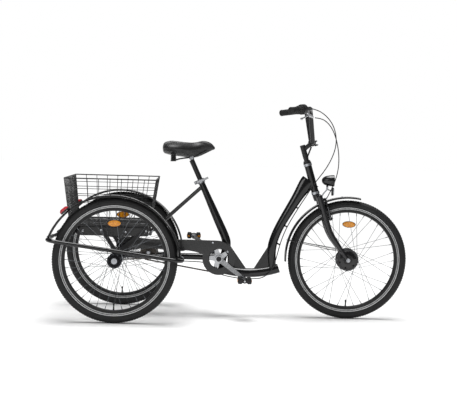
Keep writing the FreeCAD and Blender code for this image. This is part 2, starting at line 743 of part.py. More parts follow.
# ---- drive ----
def chain_case():
    """A hockey-stick cover: a ring round the chainring and an arm over the upper chain run."""
    def outline(grow, y_from, y_to):
        disc = across(CRANK, y_from, y_to, CASE_R + grow)
        lid = smooth_plate([(CRANK_X + 58 + grow, 345), (CRANK_X + 26, 377 + grow), (CRANK_X - 32, 384 + grow),
                            (CRANK_X - 122, 385 + grow), (250, 384 + grow), (110, 388 + grow), (30, 392 + grow),
                            (-12 - grow, 372), (0, 336 - grow), (90, 332 - grow), (250, 334 - grow),
                            (CRANK_X - 102, 322 - grow), (CRANK_X - 32, 300), (CRANK_X + 38, 320)], y_from, y_to)
        return disc.fuse(lid)

    outside = outline(0.0, -CASE_OUT, -CASE_IN)
    inside = outline(-CASE_T, -CASE_OUT + CASE_T, -CASE_IN + 1)
    opening = across(CRANK, -CASE_OUT - 1, -CASE_IN, CASE_OPENING)
    air = LINK_HALF + 4
    run = belt(CRANK, pitch_radius(RING_TEETH) + air, HUB, pitch_radius(DRIVER_TEETH) + air, CASE_T - CASE_OUT, 0)
    case = outside.cut(inside).cut(opening).cut(run)
    return max(case.Solids, key=lambda piece: piece.Volume)


def pedal_centre(side):
    turn = CRANK_TILT if side < 0 else CRANK_TILT + math.pi
    return CRANK + vec(math.cos(turn), 0, math.sin(turn)) * CRANK_LENGTH


def crank_arm(side):
    """One crank, bored for the spindle and for its pedal's axle."""
    reach = (pedal_centre(side) - CRANK).normalize()
    root = CRANK + Y_AXIS * side * 70
    eye = pedal_centre(side) + Y_AXIS * side * 92
    boss = across(CRANK, side * 60, side * 82, 17)
    tip = rod(eye - Y_AXIS * side * 6, eye + Y_AXIS * side * 6, 13)
    arm = fused([loft_bar(root, eye, reach), boss, tip])
    arm = arm.cut(across(CRANK, side * 50, side * 90, SPINDLE_R))
    return arm.cut(across(eye, side * 80, side * 104, PEDAL_AXLE_R))


def loft_bar(root, eye, reach):
    """A flat bar that narrows from the spindle towards the pedal."""
    rings = []
    for centre, width, thick in ((root, 13.0, 8.0), (eye, 9.0, 5.5)):
        side = reach.cross(Y_AXIS)
        corners = [centre + side * width - Y_AXIS * thick, centre + side * width + Y_AXIS * thick,
                   centre - side * width + Y_AXIS * thick, centre - side * width - Y_AXIS * thick]
        rings.append(Part.makePolygon(corners + corners[:1]))
    return Part.makeLoft(rings, True, True)


def chainring():
    """A toothed ring on a five-armed spider."""
    y = -CHAINLINE
    radius = pitch_radius(RING_TEETH)
    pieces = [sprocket(CRANK, RING_TEETH, y, radius - 12), across(CRANK, -59, -SHELL_HALF - 8, 26)]
    for i in range(SPIDER_ARMS):
        turn = CRANK_TILT + 2.0 * math.pi * i / SPIDER_ARMS
        pieces.append(flat_arm(vec(math.cos(turn), 0, math.sin(turn)), radius, y))
    return fused(pieces).cut(across(CRANK, -70, -20, SPINDLE_R))


def flat_arm(reach, radius, y):
    side = reach.cross(Y_AXIS)
    start = CRANK + reach * 20
    end = CRANK + reach * (radius - 9)
    corners = [start + side * 13, end + side * 8, end - side * 8, start - side * 13]
    corners = [c + Y_AXIS * (y - 4) for c in corners]
    return Part.Face(Part.makePolygon(corners + corners[:1])).extrude(vec(0, 5, 0))


def pedal(side):
    """Two rubber blocks in a cage round a bored barrel."""
    centre = pedal_centre(side)
    y_in = side * PEDAL_Y
    y_out = side * (PEDAL_Y + PEDAL_W)
    low, high = min(y_in, y_out), max(y_in, y_out)
    half = PEDAL_L / 2.0
    thick = PEDAL_H / 2.0
    bars = [box(centre.x - half, centre.x - half + 22, low, high, centre.z - thick, centre.z + thick),
            box(centre.x + half - 22, centre.x + half, low, high, centre.z - thick, centre.z + thick),
            box(centre.x - half, centre.x + half, low, low + 7, centre.z - thick + 3, centre.z + thick - 3),
            box(centre.x - half, centre.x + half, high - 7, high, centre.z - thick + 3, centre.z + thick - 3),
            across(centre, low, high, 11)]
    bars = [b.makeFillet(3, b.Edges) if i < 2 else b for i, b in enumerate(bars)]
    return fused(bars).cut(across(centre, low - 1, high + 1, PEDAL_AXLE_R + RUNNING_FIT))


def pedal_axle(side):
    return across(pedal_centre(side), side * 86, side * (PEDAL_Y + PEDAL_W), PEDAL_AXLE_R)


def gear_hub_axle():
    """The fixed axle through the three-speed hub, with its locknuts and track nuts."""
    pieces = [across(HUB, -88, 88, HUB_AXLE_R)]
    for side in (-1, 1):
        for start, end in ((58, 69.5), (74.5, 83)):
            nut = across(HUB, side * start, side * end, 7.5)
            pieces.append(nut.cut(across(HUB, side * (start - 1), side * (end + 1), HUB_AXLE_R)))
    return pieces


def make_drive():
    save("chain_case", [chain_case()])
    save("chain_front", [chain(CRANK, RING_TEETH, HUB, DRIVER_TEETH, -CHAINLINE)])
    save("chain_rear", [chain(HUB, OUTPUT_TEETH, REAR_AXLE, AXLE_TEETH, CHAINLINE)])
    spindle = across(CRANK, -80, 80, SPINDLE_R)
    save("cranks", [spindle, crank_arm(-1), crank_arm(1), pedal_axle(-1), pedal_axle(1)])
    save("chainring", [chainring()])
    save("pedal_right", [pedal(-1)])
    save("pedal_left", [pedal(1)])
    bore = HUB_AXLE_R + RUNNING_FIT
    boss = across(HUB, -56, -38, 17).cut(across(HUB, -57, -37, bore))
    save("hub_driver", [fused([sprocket(HUB, DRIVER_TEETH, -CHAINLINE, bore), boss])])
    body = spin([(bore, -37), (22, -37), (22, -34), (HUB_R, -32), (HUB_R, 32), (22, 35), (22, 42),
                 (19, 42), (19, 56), (bore, 56)], HUB)
    output = sprocket(HUB, OUTPUT_TEETH, CHAINLINE, 19)
    save("gear_hub", [body, output])
    save("gear_hub_axle", gear_hub_axle())
    hub_end = TRACK / 2 + REAR_FLANGE_Y + 6
    nuts = [across(REAR_AXLE, side * hub_end, side * (hub_end + 8), 14) for side in (-1, 1)]
    axle = across(REAR_AXLE, -hub_end - 4, hub_end + 4, AXLE_R)
    save("rear_axle", [axle] + [nut.cut(axle) for nut in nuts])
    boss = across(REAR_AXLE, CHAINLINE - 8, CHAINLINE + 8, 18).cut(across(REAR_AXLE, 30, 70, AXLE_R))
    save("axle_sprocket", [fused([sprocket(REAR_AXLE, AXLE_TEETH, CHAINLINE, AXLE_R), boss])])


# ---- steered parts ----
def fork():
    crown_top = at_head(-CUP_H - AIR)
    steerer = rod(at_head(-CUP_H - AIR), at_head(HEAD_LENGTH + CUP_H + 14), STEERER_R)
    race = rod(at_head(-CUP_H - 8), crown_top, HEAD_R + 0.5)
    pieces = [steerer, race]
    corner = vec(LEG_CORNER[0], 0, LEG_CORNER[1])
    tip = FRONT_AXLE
    top = at_head(LEG_TOP, LEG_AHEAD)
    down = (corner - top).normalize()
    ahead = (tip - corner).normalize()
    half = down.getAngle(ahead) / 2.0
    reach = LEG_BEND * math.tan(half)
    for side in (-1, 1):
        shift = Y_AXIS * side * LEG_Y
        upper_end = corner - down * reach
        lower_start = corner + ahead * reach
        leg = rod(top + shift, upper_end + shift, LEG_R)
        line = [upper_end - down + shift, corner + shift, lower_start + ahead + shift]
        bend = bent(line, [LEG_BEND], LEG_R)
        taper = cone(lower_start + shift, tip - ahead * 5 + shift, LEG_R, LEG_TIP_R)
        lug = rod(vec(tip.x, side * (LEG_Y - 3), tip.z), vec(tip.x, side * (LEG_Y + 3), tip.z), 13)
        pieces += [leg, bend, taper, lug, Part.makeSphere(LEG_R, top + shift)]
        boss = rod(at_head(BRAKE_PIVOT_UP, LEG_AHEAD + 6, side * BRAKE_Y),
                   at_head(BRAKE_PIVOT_UP, BRAKE_AHEAD - 6.5, side * BRAKE_Y), 7)
        pin = rod(at_head(BRAKE_PIVOT_UP, BRAKE_AHEAD - 8, side * BRAKE_Y),
                  at_head(BRAKE_PIVOT_UP, BRAKE_AHEAD + 6, side * BRAKE_Y), BOSS_R)
        pieces += [boss, pin]
    bridge = rod(at_head(LEG_TOP, LEG_AHEAD, -LEG_Y), at_head(LEG_TOP, LEG_AHEAD, LEG_Y), LEG_R)
    neck = rod(at_head(-44, 3), at_head(-CUP_H - 8), HEAD_R + 0.5)
    whole = fused(pieces + [bridge, neck])
    bore = rod(at_head(20), at_head(HEAD_LENGTH + CUP_H + 20), QUILL_R + RUNNING_FIT)
    axle_bore = across(FRONT_AXLE, -LEG_Y - 10, LEG_Y + 10, FRONT_AXLE_R)
    return whole.cut(bore).cut(axle_bore)


def headset_nuts():
    """The threaded race and the locknut on top of the head tube."""
    foot = HEAD_LENGTH + CUP_H + AIR
    nuts = [pipe(at_head(foot), at_head(foot + 6), CUP_R - 1, STEERER_R),
            pipe(at_head(foot + 6), at_head(foot + 14), CUP_R - 3, STEERER_R)]
    return nuts


def front_axle():
    """The fixed axle with its collars and nuts, and the wound core inside the hub."""
    rodding = across(FRONT_AXLE, -67, 67, FRONT_AXLE_R)
    parts = [rodding, across(FRONT_AXLE, -18, 18, 40)]
    for side in (-1, 1):
        parts.append(across(FRONT_AXLE, side * 30, side * (LEG_Y - 3), 9))
        parts.append(across(FRONT_AXLE, side * (LEG_Y + 3), side * (LEG_Y + 12), 9))
    return fused(parts)


def front_stays():
    """Wire stays from the axle lugs to the lower end of the front mudguard."""
    wires = []
    for side in (-1, 1):
        y = side * (LEG_Y + 13)
        turn = math.radians(163.0)
        end = vec(WHEELBASE + (FRONT_GUARD_R - 9) * math.cos(turn), side * (GUARD_W / 2 + 2),
                  WHEEL_R + (FRONT_GUARD_R - 9) * math.sin(turn))
        start = vec(WHEELBASE - 35, y, WHEEL_R + 43.5)
        wire = rod(start, end, 1.8)
        wires.append(wire.fuse(across(start, side * LEG_Y, y + side * 2, 3.5)).removeSplitter())
    return wires


def arm_notch(side):
    """Room in the mudguard's edge for a brake arm that is pulled right in."""
    foot = at_head(BRAKE_PIVOT_UP, BRAKE_AHEAD, side * BRAKE_Y)
    top = at_head(BRAKE_PIVOT_UP + BRAKE_ARM, BRAKE_AHEAD, side * (BRAKE_Y - ARM_LEAN - ARM_SWING))
    return rod(foot, top, ARM_R + NOTCH_ROOM)


def make_fork():
    whole = fork()
    save("fork", [whole])
    save("headset_nuts", headset_nuts())
    save("front_axle", [front_axle().cut(whole)])
    guard = mudguard(FRONT_AXLE, FRONT_GUARD_R, 79.0, 183.0).cut([arm_notch(-1), arm_notch(1)])
    save("front_mudguard", [guard] + [w.cut(guard).cut(whole) for w in front_stays()])
    reflector = box(LAMP_X + 34, LAMP_X + 46, -22, 22, 622, 664)
    save("lamp_bracket", [lamp_bracket(reflector).cut(whole)])
    save("front_reflector", [reflector])
    save("headlamp", [headlamp()])
    save("headlamp_lens", [across_x(LAMP_X + 36.2, LAMP_X + 46, LAMP_R - 1)])


def lamp_bracket(reflector):
    """A bent rod from the fork's bridge to the fork ears that hold the lamp's pivot pin."""
    pivot = vec(LAMP_PIVOT[0], 0, LAMP_PIVOT[1])
    foot = pivot - vec(0, 0, LUG_R + 3)
    stalk = bent([at_head(LEG_TOP - 4, LEG_AHEAD + LEG_R), vec(LAMP_X - 8, 0, 630), foot], [9], 3.5)
    ears = box(pivot.x - LUG_R, pivot.x + LUG_R, -EAR_OUT, EAR_OUT, foot.z - 2, pivot.z + LUG_R)
    slot = across(pivot, -LUG_HALF - TILT_GAP, LUG_HALF + TILT_GAP, LUG_R + TILT_GAP + 1)
    reach = LUG_HALF + TILT_GAP
    slot = slot.fuse(box(pivot.x - 20, pivot.x + 20, -reach, reach, pivot.z, pivot.z + 20))
    pin = across(pivot, -EAR_OUT, EAR_OUT, PIN_R)
    arm = rod(foot, vec(LAMP_X + 35, 0, 646), 3)
    return fused([stalk, ears.cut(slot), pin, arm.cut(reflector)])


def across_x(x_from, x_to, radius):
    return rod(vec(x_from, 0, LAMP_Z), vec(x_to, 0, LAMP_Z), radius)


def headlamp():
    """A bullet shell with a flat front for the lens, and a lug under it for the pivot pin."""
    outline = [vec(LAMP_X - 18, 0, LAMP_Z), vec(LAMP_X - 17, 0, LAMP_Z + 7), vec(LAMP_X - 8, 0, LAMP_Z + 18),
               vec(LAMP_X + 10, 0, LAMP_Z + 26), vec(LAMP_X + 36, 0, LAMP_Z + LAMP_R)]
    curve = Part.BSplineCurve()
    curve.interpolate(outline)
    edges = [curve.toShape(), Part.LineSegment(outline[-1], vec(LAMP_X + 36, 0, LAMP_Z)).toShape(),
             Part.LineSegment(vec(LAMP_X + 36, 0, LAMP_Z), outline[0]).toShape()]
    shell = Part.Face(Part.Wire(edges)).revolve(vec(LAMP_X, 0, LAMP_Z), vec(1, 0, 0), 360)
    pivot = vec(LAMP_PIVOT[0], 0, LAMP_PIVOT[1])
    eye = across(pivot, -LUG_HALF, LUG_HALF, LUG_R)
    neck = box(pivot.x - LUG_R, pivot.x + LUG_R, -LUG_HALF, LUG_HALF, pivot.z, LAMP_Z - 15)
    return fused([shell, eye, neck]).cut(across(pivot, -LUG_HALF - 1, LUG_HALF + 1, PIN_R + RUNNING_FIT))


def brake_arm(side):
    """A lever on the leg's boss, with its pad and pad holder."""
    foot = at_head(BRAKE_PIVOT_UP, BRAKE_AHEAD, side * BRAKE_Y)
    top = at_head(BRAKE_PIVOT_UP + BRAKE_ARM, BRAKE_AHEAD, side * (BRAKE_Y - ARM_LEAN))
    eye = rod(foot - HEAD_AHEAD * 5.6, foot + HEAD_AHEAD * 5.6, 9)
    bar = rod(foot + (top - foot).normalize() * 6, top, ARM_R)
    whole = fused([eye, bar])
    whole = whole.cut(rod(foot - HEAD_AHEAD * 9, foot + HEAD_AHEAD * 9, BOSS_R + RUNNING_FIT))
    pad_y = RIM_W / 2 + PAD_GAP
    middle = at_head(BRAKE_PIVOT_UP + PAD_UP, BRAKE_AHEAD, 0)
    stud = rod(middle + Y_AXIS * side * (pad_y + 8), middle + Y_AXIS * side * (BRAKE_Y + 8), 3)
    out = (middle - FRONT_AXLE).normalize()
    run = out.cross(Y_AXIS)
    pad_middle = FRONT_AXLE + out * PAD_RADIUS
    corners = [pad_middle + run * 27 + out * 4, pad_middle - run * 27 + out * 4,
               pad_middle - run * 27 - out * 5, pad_middle + run * 27 - out * 5]
    corners = [c + Y_AXIS * side * pad_y for c in corners]
    pad = Part.Face(Part.makePolygon(corners + corners[:1])).extrude(vec(0, side * 8, 0))
    return [whole.cut(stud), stud, pad]


def stem():
    clamp_at = at_head(CLAMP_UP, CLAMP_AHEAD)
    quill = rod(at_head(QUILL_FOOT), at_head(QUILL_TOP), QUILL_R)
    sleeve = rod(at_head(HEAD_LENGTH + CUP_H + 28), at_head(QUILL_TOP), QUILL_R + 1)
    arm = rod(at_head(QUILL_TOP - 24), clamp_at, 11)
    brace = rod(at_head(178, 8), at_head(CLAMP_UP - 18, CLAMP_AHEAD - 8), 4)
    clamp = across(clamp_at, -CLAMP_HALF, CLAMP_HALF, CLAMP_R)
    bolts = []
    for up in (-17, 2):
        start = clamp_at + HEAD_UP * up + HEAD_AHEAD * (CLAMP_R - 9)
        bolts.append(rod(start, start + HEAD_AHEAD * 16, 4.5))
    whole = fused([quill, sleeve, arm, brace, clamp] + bolts)
    whole = whole.cut(across(clamp_at, -CLAMP_HALF - 1, CLAMP_HALF + 1, BAR_R + RUNNING_FIT))
    gap = rod(clamp_at, clamp_at + HEAD_AHEAD * 6, 1)
    return whole.cut(gap)


def bar_corners(side):
    clamp_at = at_head(CLAMP_UP, CLAMP_AHEAD)
    corners = [vec(clamp_at.x, 0, clamp_at.z), vec(clamp_at.x, side * BAR_CENTRE_HALF, clamp_at.z)]
    for x, y, z in (BAR_RISE, BAR_SHOULDER, BAR_END):
        corners.append(vec(x, side * y, z))
    return corners


def bar_point(side, inboard):
    """A point on the swept-back end of the bar, measured from its tip."""
    end, shoulder = bar_corners(side)[4], bar_corners(side)[3]
    return end + (shoulder - end).normalize() * inboard


def handlebar():
    halves = []
    for side in (-1, 1):
        halves.append(bent(bar_corners(side), [22, BAR_BEND, BAR_BEND], BAR_R))
    return fused(halves)


def sleeve(side, start, end, radius):
    bore = rod(bar_point(side, start - 1), bar_point(side, end + 1), BAR_R)
    return rod(bar_point(side, start), bar_point(side, end), radius).cut(bore)


def lever_frame():
    """Directions at the right-hand brake lever: along the bar, the pin's axis, and the pivot."""
    inboard = (bar_point(-1, 10) - bar_point(-1, 0)).normalize()
    pin_axis = inboard.cross(vec(0, 0, 1)).normalize()
    return inboard, pin_axis, bar_point(-1, LEVER_AT) - vec(0, 0, LEVER_DROP)


def lever_bracket():
    """A collar on the bar, a nose that holds the cable's end, and the lever's pin."""
    inboard, pin_axis, pivot = lever_frame()
    clamp_end = LEVER_CLAMP + LEVER_CLAMP_W
    collar = rod(bar_point(-1, LEVER_CLAMP), bar_point(-1, clamp_end), 15.5)
    nose = cone(pivot, pivot + inboard * 40 - vec(0, 0, 12), 8, 6)
    web = rod(bar_point(-1, LEVER_CLAMP + 8) - vec(0, 0, 12), pivot + inboard * 6, 6)
    body = fused([collar, web, nose])
    body = body.cut(rod(bar_point(-1, LEVER_CLAMP - 5), bar_point(-1, clamp_end + 5), BAR_R))
    pin = rod(pivot - pin_axis * 8, pivot + pin_axis * 8, 2.5)
    gap = rod(pivot - pin_axis * 3.4, pivot + pin_axis * 3.4, 14)
    return [max(body.cut(gap).cut(pin).Solids, key=lambda piece: piece.Volume), pin]


def brake_lever():
    """A blade with a ball tip, swinging up towards the grip."""
    inboard, pin_axis, pivot = lever_frame()
    knee = pivot - inboard * 24 - vec(0, 0, 8)
    tip = pivot + vec(-36, -60, -20)
    eye = rod(pivot - pin_axis * 3, pivot + pin_axis * 3, 8)
    arm = rod(pivot - inboard * 5 - vec(0, 0, 1.7), knee, 2.8)
    blade = fused([eye, arm, rod(knee, tip, 3.6), Part.makeSphere(4.5, knee), Part.makeSphere(6.5, tip)])
    return blade.cut(rod(pivot - pin_axis * 9, pivot + pin_axis * 9, 2.5 + RUNNING_FIT))


def nozzle_ends():
    """Where the gear cable's nozzle leaves the shifter's housing, and where the cable leaves it."""
    inboard, forward, pivot = lever_frame()
    foot = bar_point(-1, SHORT_GRIP + TWIST_W + 12) + forward * 19
    return foot, foot + inboard * 52 + forward * 4


def shifter_housing(start):
    """A round box beside the twist grip, with a nozzle for the gear cable on its front."""
    foot, end = nozzle_ends()
    barrel = sleeve(-1, start, start + SHIFTER_W, SHIFTER_R)
    room = rod(bar_point(-1, LEVER_CLAMP - 1), bar_point(-1, LEVER_CLAMP + LEVER_CLAMP_W + 1), 15.5)
    return fused([barrel, cone(foot, end, 7, 3.5)]).cut(room)


def make_cockpit():
    save("stem", [stem()])
    save("handlebar", [handlebar()])
    save("grips", [sleeve(-1, 0.01, SHORT_GRIP, GRIP_R), sleeve(1, 0.01, LONG_GRIP, GRIP_R)])
    twist_end = SHORT_GRIP + TWIST_W
    twist = rod(bar_point(-1, SHORT_GRIP + AIR), bar_point(-1, twist_end), SHIFTER_R - 3)
    twist = twist.cut(rod(bar_point(-1, SHORT_GRIP), bar_point(-1, twist_end + 9), BAR_R + RUNNING_FIT))
    save("shifter_twist", [twist])
    save("shifter_housing", [shifter_housing(twist_end + AIR)])
    save("lever_bracket", lever_bracket())
    save("brake_lever", [brake_lever()])


# ---- seat ----
def saddle_pad():
    """A closed cushion: wide and round at the back, narrow at the nose."""
    stations = (
        (SADDLE_BACK, 818, 858, 70), (SADDLE_BACK + 16, 812, 873, 100), (SADDLE_BACK + 60, 806, 874, SADDLE_HALF),
        (SADDLE_BACK + 120, 800, 869, 84), (SADDLE_BACK + 165, 800, 871, 46), (SADDLE_BACK + 215, 820, 880, 27),
        (SADDLE_NOSE - 20, 836, 872, 22), (SADDLE_NOSE, 840, 852, 14),
    )
    rings = []
    for x, low, high, half in stations:
        middle = vec(x, 0, (low + high) / 2.0)
        rings.append(oval(middle, vec(0, 0, (high - low) / 2.0), Y_AXIS * half))
    return Part.makeLoft(rings, True, False)


def saddle_rails(pad):
    """Two steel wires under the pad, with a coil spring at each rear corner."""
    wires = []
    for side in (-1, 1):
        y = side * RAIL_Y
        wire = bent([vec(SEAT_X - 138, side * 52, 778), vec(SEAT_X - 108, y, 788), vec(SEAT_X - 70, y, RAIL_Z - 6),
                     vec(SEAT_X - 28, y, RAIL_Z), vec(SEAT_X + 40, side * 10, 846)], [20, 30, 30], SADDLE_RAIL_R)
        wires.append(wire.cut(pad))
        spring = pipe(vec(SEAT_X - 138, side * 58, 776), vec(SEAT_X - 138, side * 58, 812), 14, 9)
        wires.append(spring.cut(pad).cut(wire))
    return wires


def saddle_clamp(radius):
    """The round block on the post's top that grips both rails and tilts on the post."""
    return across(vec(at_seat(SEATPOST_OUT).x, 0, RAIL_Z - CLAMP_BELOW), -RAIL_Y - 8, RAIL_Y + 8, radius)


def seat_clamp():
    """A slit collar with two ears, drawn together by a skewer with a cross pin."""
    collar = rod(at_seat(4 - COLLAR_W), at_seat(4), COLLAR_R)
    ears = box(-EAR_BACK - 7, -10, -9, 9, -8, 8)
    ears.rotate(vec(0, 0, 0), Y_AXIS, math.degrees(SEAT_ANGLE) - 90)
    collar = fused([collar, ears.translated(at_seat(-4))])
    slit = box(-EAR_BACK - 9, -8, -1.5, 1.5, -30, 30)
    slit.rotate(vec(0, 0, 0), Y_AXIS, math.degrees(SEAT_ANGLE) - 90)
    collar = collar.cut(slit.translated(at_seat(-4)))
    collar = collar.cut(rod(at_seat(-COLLAR_W), at_seat(0), SEAT_TUBE_R + 0.3))
    collar = collar.cut(rod(at_seat(-1), at_seat(8), SEATPOST_R + AIR))
    hole = rod(at_seat(-4, -EAR_BACK, -14), at_seat(-4, -EAR_BACK, 14), 2.7)
    shank = rod(at_seat(-4, -EAR_BACK, -QUICK_Y), at_seat(-4, -EAR_BACK, 20), 2.5)
    pin = rod(at_seat(-12, -EAR_BACK, -QUICK_Y), at_seat(4, -EAR_BACK, -QUICK_Y), QUICK_PIN_R)
    skewer = fused([shank, pin])
    nut = rod(at_seat(-4, -EAR_BACK, 9), at_seat(-4, -EAR_BACK, 17), 6).cut(skewer)
    return [collar.cut(hole), skewer, nut]


def seat_lever():
    """Two cheeks on the skewer's cross pin and one blade lying along the collar's side."""
    cheeks = []
    for up in (-10.5, -1):
        cheeks.append(rod(at_seat(up, -EAR_BACK, -QUICK_Y), at_seat(up + 3.5, -EAR_BACK, -QUICK_Y), 7))
    blade = box(-EAR_BACK + 4.5, 41, -QUICK_Y - 5, -QUICK_Y - 1, -5.5, 5.5)
    blade.rotate(vec(0, 0, 0), Y_AXIS, math.degrees(SEAT_ANGLE) - 90)
    pin = rod(at_seat(-20, -EAR_BACK, -QUICK_Y), at_seat(20, -EAR_BACK, -QUICK_Y), QUICK_PIN_R + RUNNING_FIT)
    return fused(cheeks + [blade.translated(at_seat(-4))]).cut(pin)


def make_seat():
    clamp = saddle_clamp(SADDLE_CLAMP_R)
    post = rod(at_seat(-SEATPOST_IN), at_seat(SEATPOST_OUT), SEATPOST_R)
    post = post.cut(saddle_clamp(SADDLE_CLAMP_R + TILT_GAP))
    pad = saddle_pad().cut(clamp)
    rails = saddle_rails(pad)
    save("seatpost", [post])
    save("saddle_pad", [pad])
    save("saddle_frame", rails + [clamp.cut(Part.makeCompound(rails))])
    save("seat_clamp", seat_clamp())
    save("seat_lever", [seat_lever()])


# ---- cables ----
BRAKE_CABLE = ((952, -172, 1009), (982, -161, 1007), (1012, -151, 992), (1039, -140, 963), (1059, -128, 924),
               (1073, -115, 880), (1082, -102, 836), (1086, -89, 790), (1083, -76, 744), (1074, -62, 702),
               (1061, -50, 663), (1045, -42, 629), (1035, -38, 606))
GEAR_CABLE = ((962, -203, 1045), (990, -196, 1030), (1016, -189, 1008), (1040, -179, 977), (1056, -166, 938),
              (1063, -150, 897), (1060, -131, 855), (1048, -110, 813), (1030, -88, 772), (1007, -66, 733),
              (981, -45, 696), (956, -25, 655), (937, -8, 618), (912, 0, 578), (883, 0, 529), (856, 0, 482),
              (833, 0, 434), (816, -3, 388), (804, -12, 346), (794, -24, 307), (783, -28, 268), (764, -26, 231))
# The routes are drawn on a wheelbase of 1152, and move with it, less and less towards the hub.
DRAWN_WHEELBASE = 1152.0
FIXED_X = 171.0
MOVING_X = 463.0
UNDER_STEP = (279.0, 273.7, 268.4, 263.1, 257.8, 252.6)
GEAR_CABLE_BACK = ((463, -4, 252), (424, 0, 270), (380, -4, 271), (336, -16, 274), (295, -34, 275),
                   (256, -54, 276), (221, -73, 280), (192, -87, 289), (171, -93, 304))


def route_points(places):
    line = []
    for x, y, z in places:
        share = min(1.0, (x - FIXED_X) / (MOVING_X - FIXED_X))
        line.append(vec(x + share * (WHEELBASE - DRAWN_WHEELBASE), y, z))
    return line


def cables():
    """The brake cable ends at the right brake arm, the gear cable beside the three-speed hub."""
    under = []
    reach = STEP_BEND + STEP_R + CABLE_R + 4
    for i, degrees in enumerate(UNDER_STEP):
        turn = math.radians(degrees)
        under.append(vec(STEP_CENTRE[0] + reach * math.cos(turn), -20 + i * 3,
                         STEP_CENTRE[1] + reach * math.sin(turn)))
    route = [nozzle_ends()[1] + lever_frame()[0] * CABLE_R] + route_points(GEAR_CABLE) + under
    route += route_points(GEAR_CABLE_BACK)
    brake_line = cable("brake_cable", route_points(BRAKE_CABLE), CABLE_R)
    return brake_line, cable("gear_cable", route, CABLE_R)


def main():
    os.makedirs("parts", exist_ok=True)
    brake_line, gear_line = cables()
    frame = main_frame()
    save("brake_cable", [brake_line])
    save("gear_cable", [gear_line])
    make_frame(frame)
    make_carrier()
    save("basket", [basket()])
    make_wheels()
    make_drive()
    make_fork()
    for side, name in ((-1, "right"), (1, "left")):
        save("brake_arm_" + name, brake_arm(side))
    make_cockpit()
    make_seat()


main()
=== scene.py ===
import json
import math

import bmesh
import bpy
from mathutils import Matrix, Vector


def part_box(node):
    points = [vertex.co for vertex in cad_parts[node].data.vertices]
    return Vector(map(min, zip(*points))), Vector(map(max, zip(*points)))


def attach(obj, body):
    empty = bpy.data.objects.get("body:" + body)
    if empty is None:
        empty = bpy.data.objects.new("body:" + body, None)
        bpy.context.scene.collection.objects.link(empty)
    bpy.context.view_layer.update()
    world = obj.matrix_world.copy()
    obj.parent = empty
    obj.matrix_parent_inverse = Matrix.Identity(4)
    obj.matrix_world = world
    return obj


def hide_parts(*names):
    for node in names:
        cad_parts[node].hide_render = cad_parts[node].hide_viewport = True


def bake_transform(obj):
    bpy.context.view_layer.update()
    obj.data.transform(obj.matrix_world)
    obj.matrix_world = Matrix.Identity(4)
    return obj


# The looks of an adult tricycle: gloss black frame, wire basket, three spoked wheels and a padded saddle.
# Lengths are in metres and the frame is +X forward, +Y to the rider's left, +Z up.

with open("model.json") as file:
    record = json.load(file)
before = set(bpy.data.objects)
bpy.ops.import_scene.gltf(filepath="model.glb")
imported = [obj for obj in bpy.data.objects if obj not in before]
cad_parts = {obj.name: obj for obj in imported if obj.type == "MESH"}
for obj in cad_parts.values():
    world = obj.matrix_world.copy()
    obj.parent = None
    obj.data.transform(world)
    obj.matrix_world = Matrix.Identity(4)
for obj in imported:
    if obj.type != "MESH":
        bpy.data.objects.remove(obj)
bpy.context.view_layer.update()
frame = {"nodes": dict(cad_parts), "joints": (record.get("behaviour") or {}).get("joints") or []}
JOINTS = {joint["name"]: joint for joint in frame["joints"]}

MM = 0.001
Y_AXIS = Vector((0, 1, 0))
Z_AXIS = Vector((0, 0, 1))


# ---- the camera, first of all ----
def place_camera():
    """A long lens level with the basket, on the drive side."""
    spot = Vector((-0.1792, -6.0403, 0.9042))
    yaw, dip, roll = 0.0268, 0.0525, 0.0272
    ahead = Vector((math.sin(yaw) * math.cos(dip), math.cos(yaw) * math.cos(dip), -math.sin(dip)))
    right = Vector((math.cos(yaw), -math.sin(yaw), 0))
    up = right.cross(ahead)
    right_rolled = right * math.cos(roll) + up * math.sin(roll)
    up_rolled = up * math.cos(roll) - right * math.sin(roll)
    turn = Matrix((right_rolled, up_rolled, -ahead)).transposed()
    data = bpy.data.cameras.new("camera")
    data.sensor_width = 36.0
    data.lens = 94.52
    camera = bpy.data.objects.new("camera", data)
    camera.matrix_world = Matrix.Translation(spot) @ turn.to_4x4()
    bpy.context.scene.collection.objects.link(camera)
    bpy.context.scene.camera = camera


place_camera()


# ---- places ----
def joint_at(name):
    return Vector(JOINTS[name]["pos_m"])


def joint_axis(name):
    return Vector(JOINTS[name]["axis"]).normalized()


def middle(node):
    low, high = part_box(node)
    return (Vector(low) + Vector(high)) / 2


REAR_AXLE = joint_at("rear_axle_spin")
CRANK = joint_at("crank_spin")
HUB = joint_at("gear_hub_spin")
HEAD_FOOT = joint_at("steering")
HEAD_UP = joint_axis("steering")
HEAD_AHEAD = Y_AXIS.cross(HEAD_UP)
TWIST_AT = 73 * MM
INBOARD = joint_axis("gear_twist")
BAR_TIP = joint_at("gear_twist") - INBOARD * TWIST_AT


def at(x, z, y=0.0):
    """A place in millimetres: ahead of the rear axle, above the ground, to the left."""
    return Vector((REAR_AXLE.x + x * MM, y * MM, z * MM))


def at_head(up, ahead=0.0, y=0.0):
    """A place in millimetres up the steering axis from the head tube's foot, ahead of it and to the left."""
    return HEAD_FOOT + HEAD_UP * up * MM + HEAD_AHEAD * ahead * MM + Y_AXIS * y * MM


def flipped(spot):
    """The same place on the tricycle's other side."""
    return Vector((spot.x, -spot.y, spot.z))


# ---- materials ----
def linear(code):
    """An sRGB hex colour as linear RGBA."""
    shares = [int(code[i:i + 2], 16) / 255 for i in (0, 2, 4)]
    return tuple(c / 12.92 if c <= 0.04045 else ((c + 0.055) / 1.055) ** 2.4 for c in shares) + (1.0,)


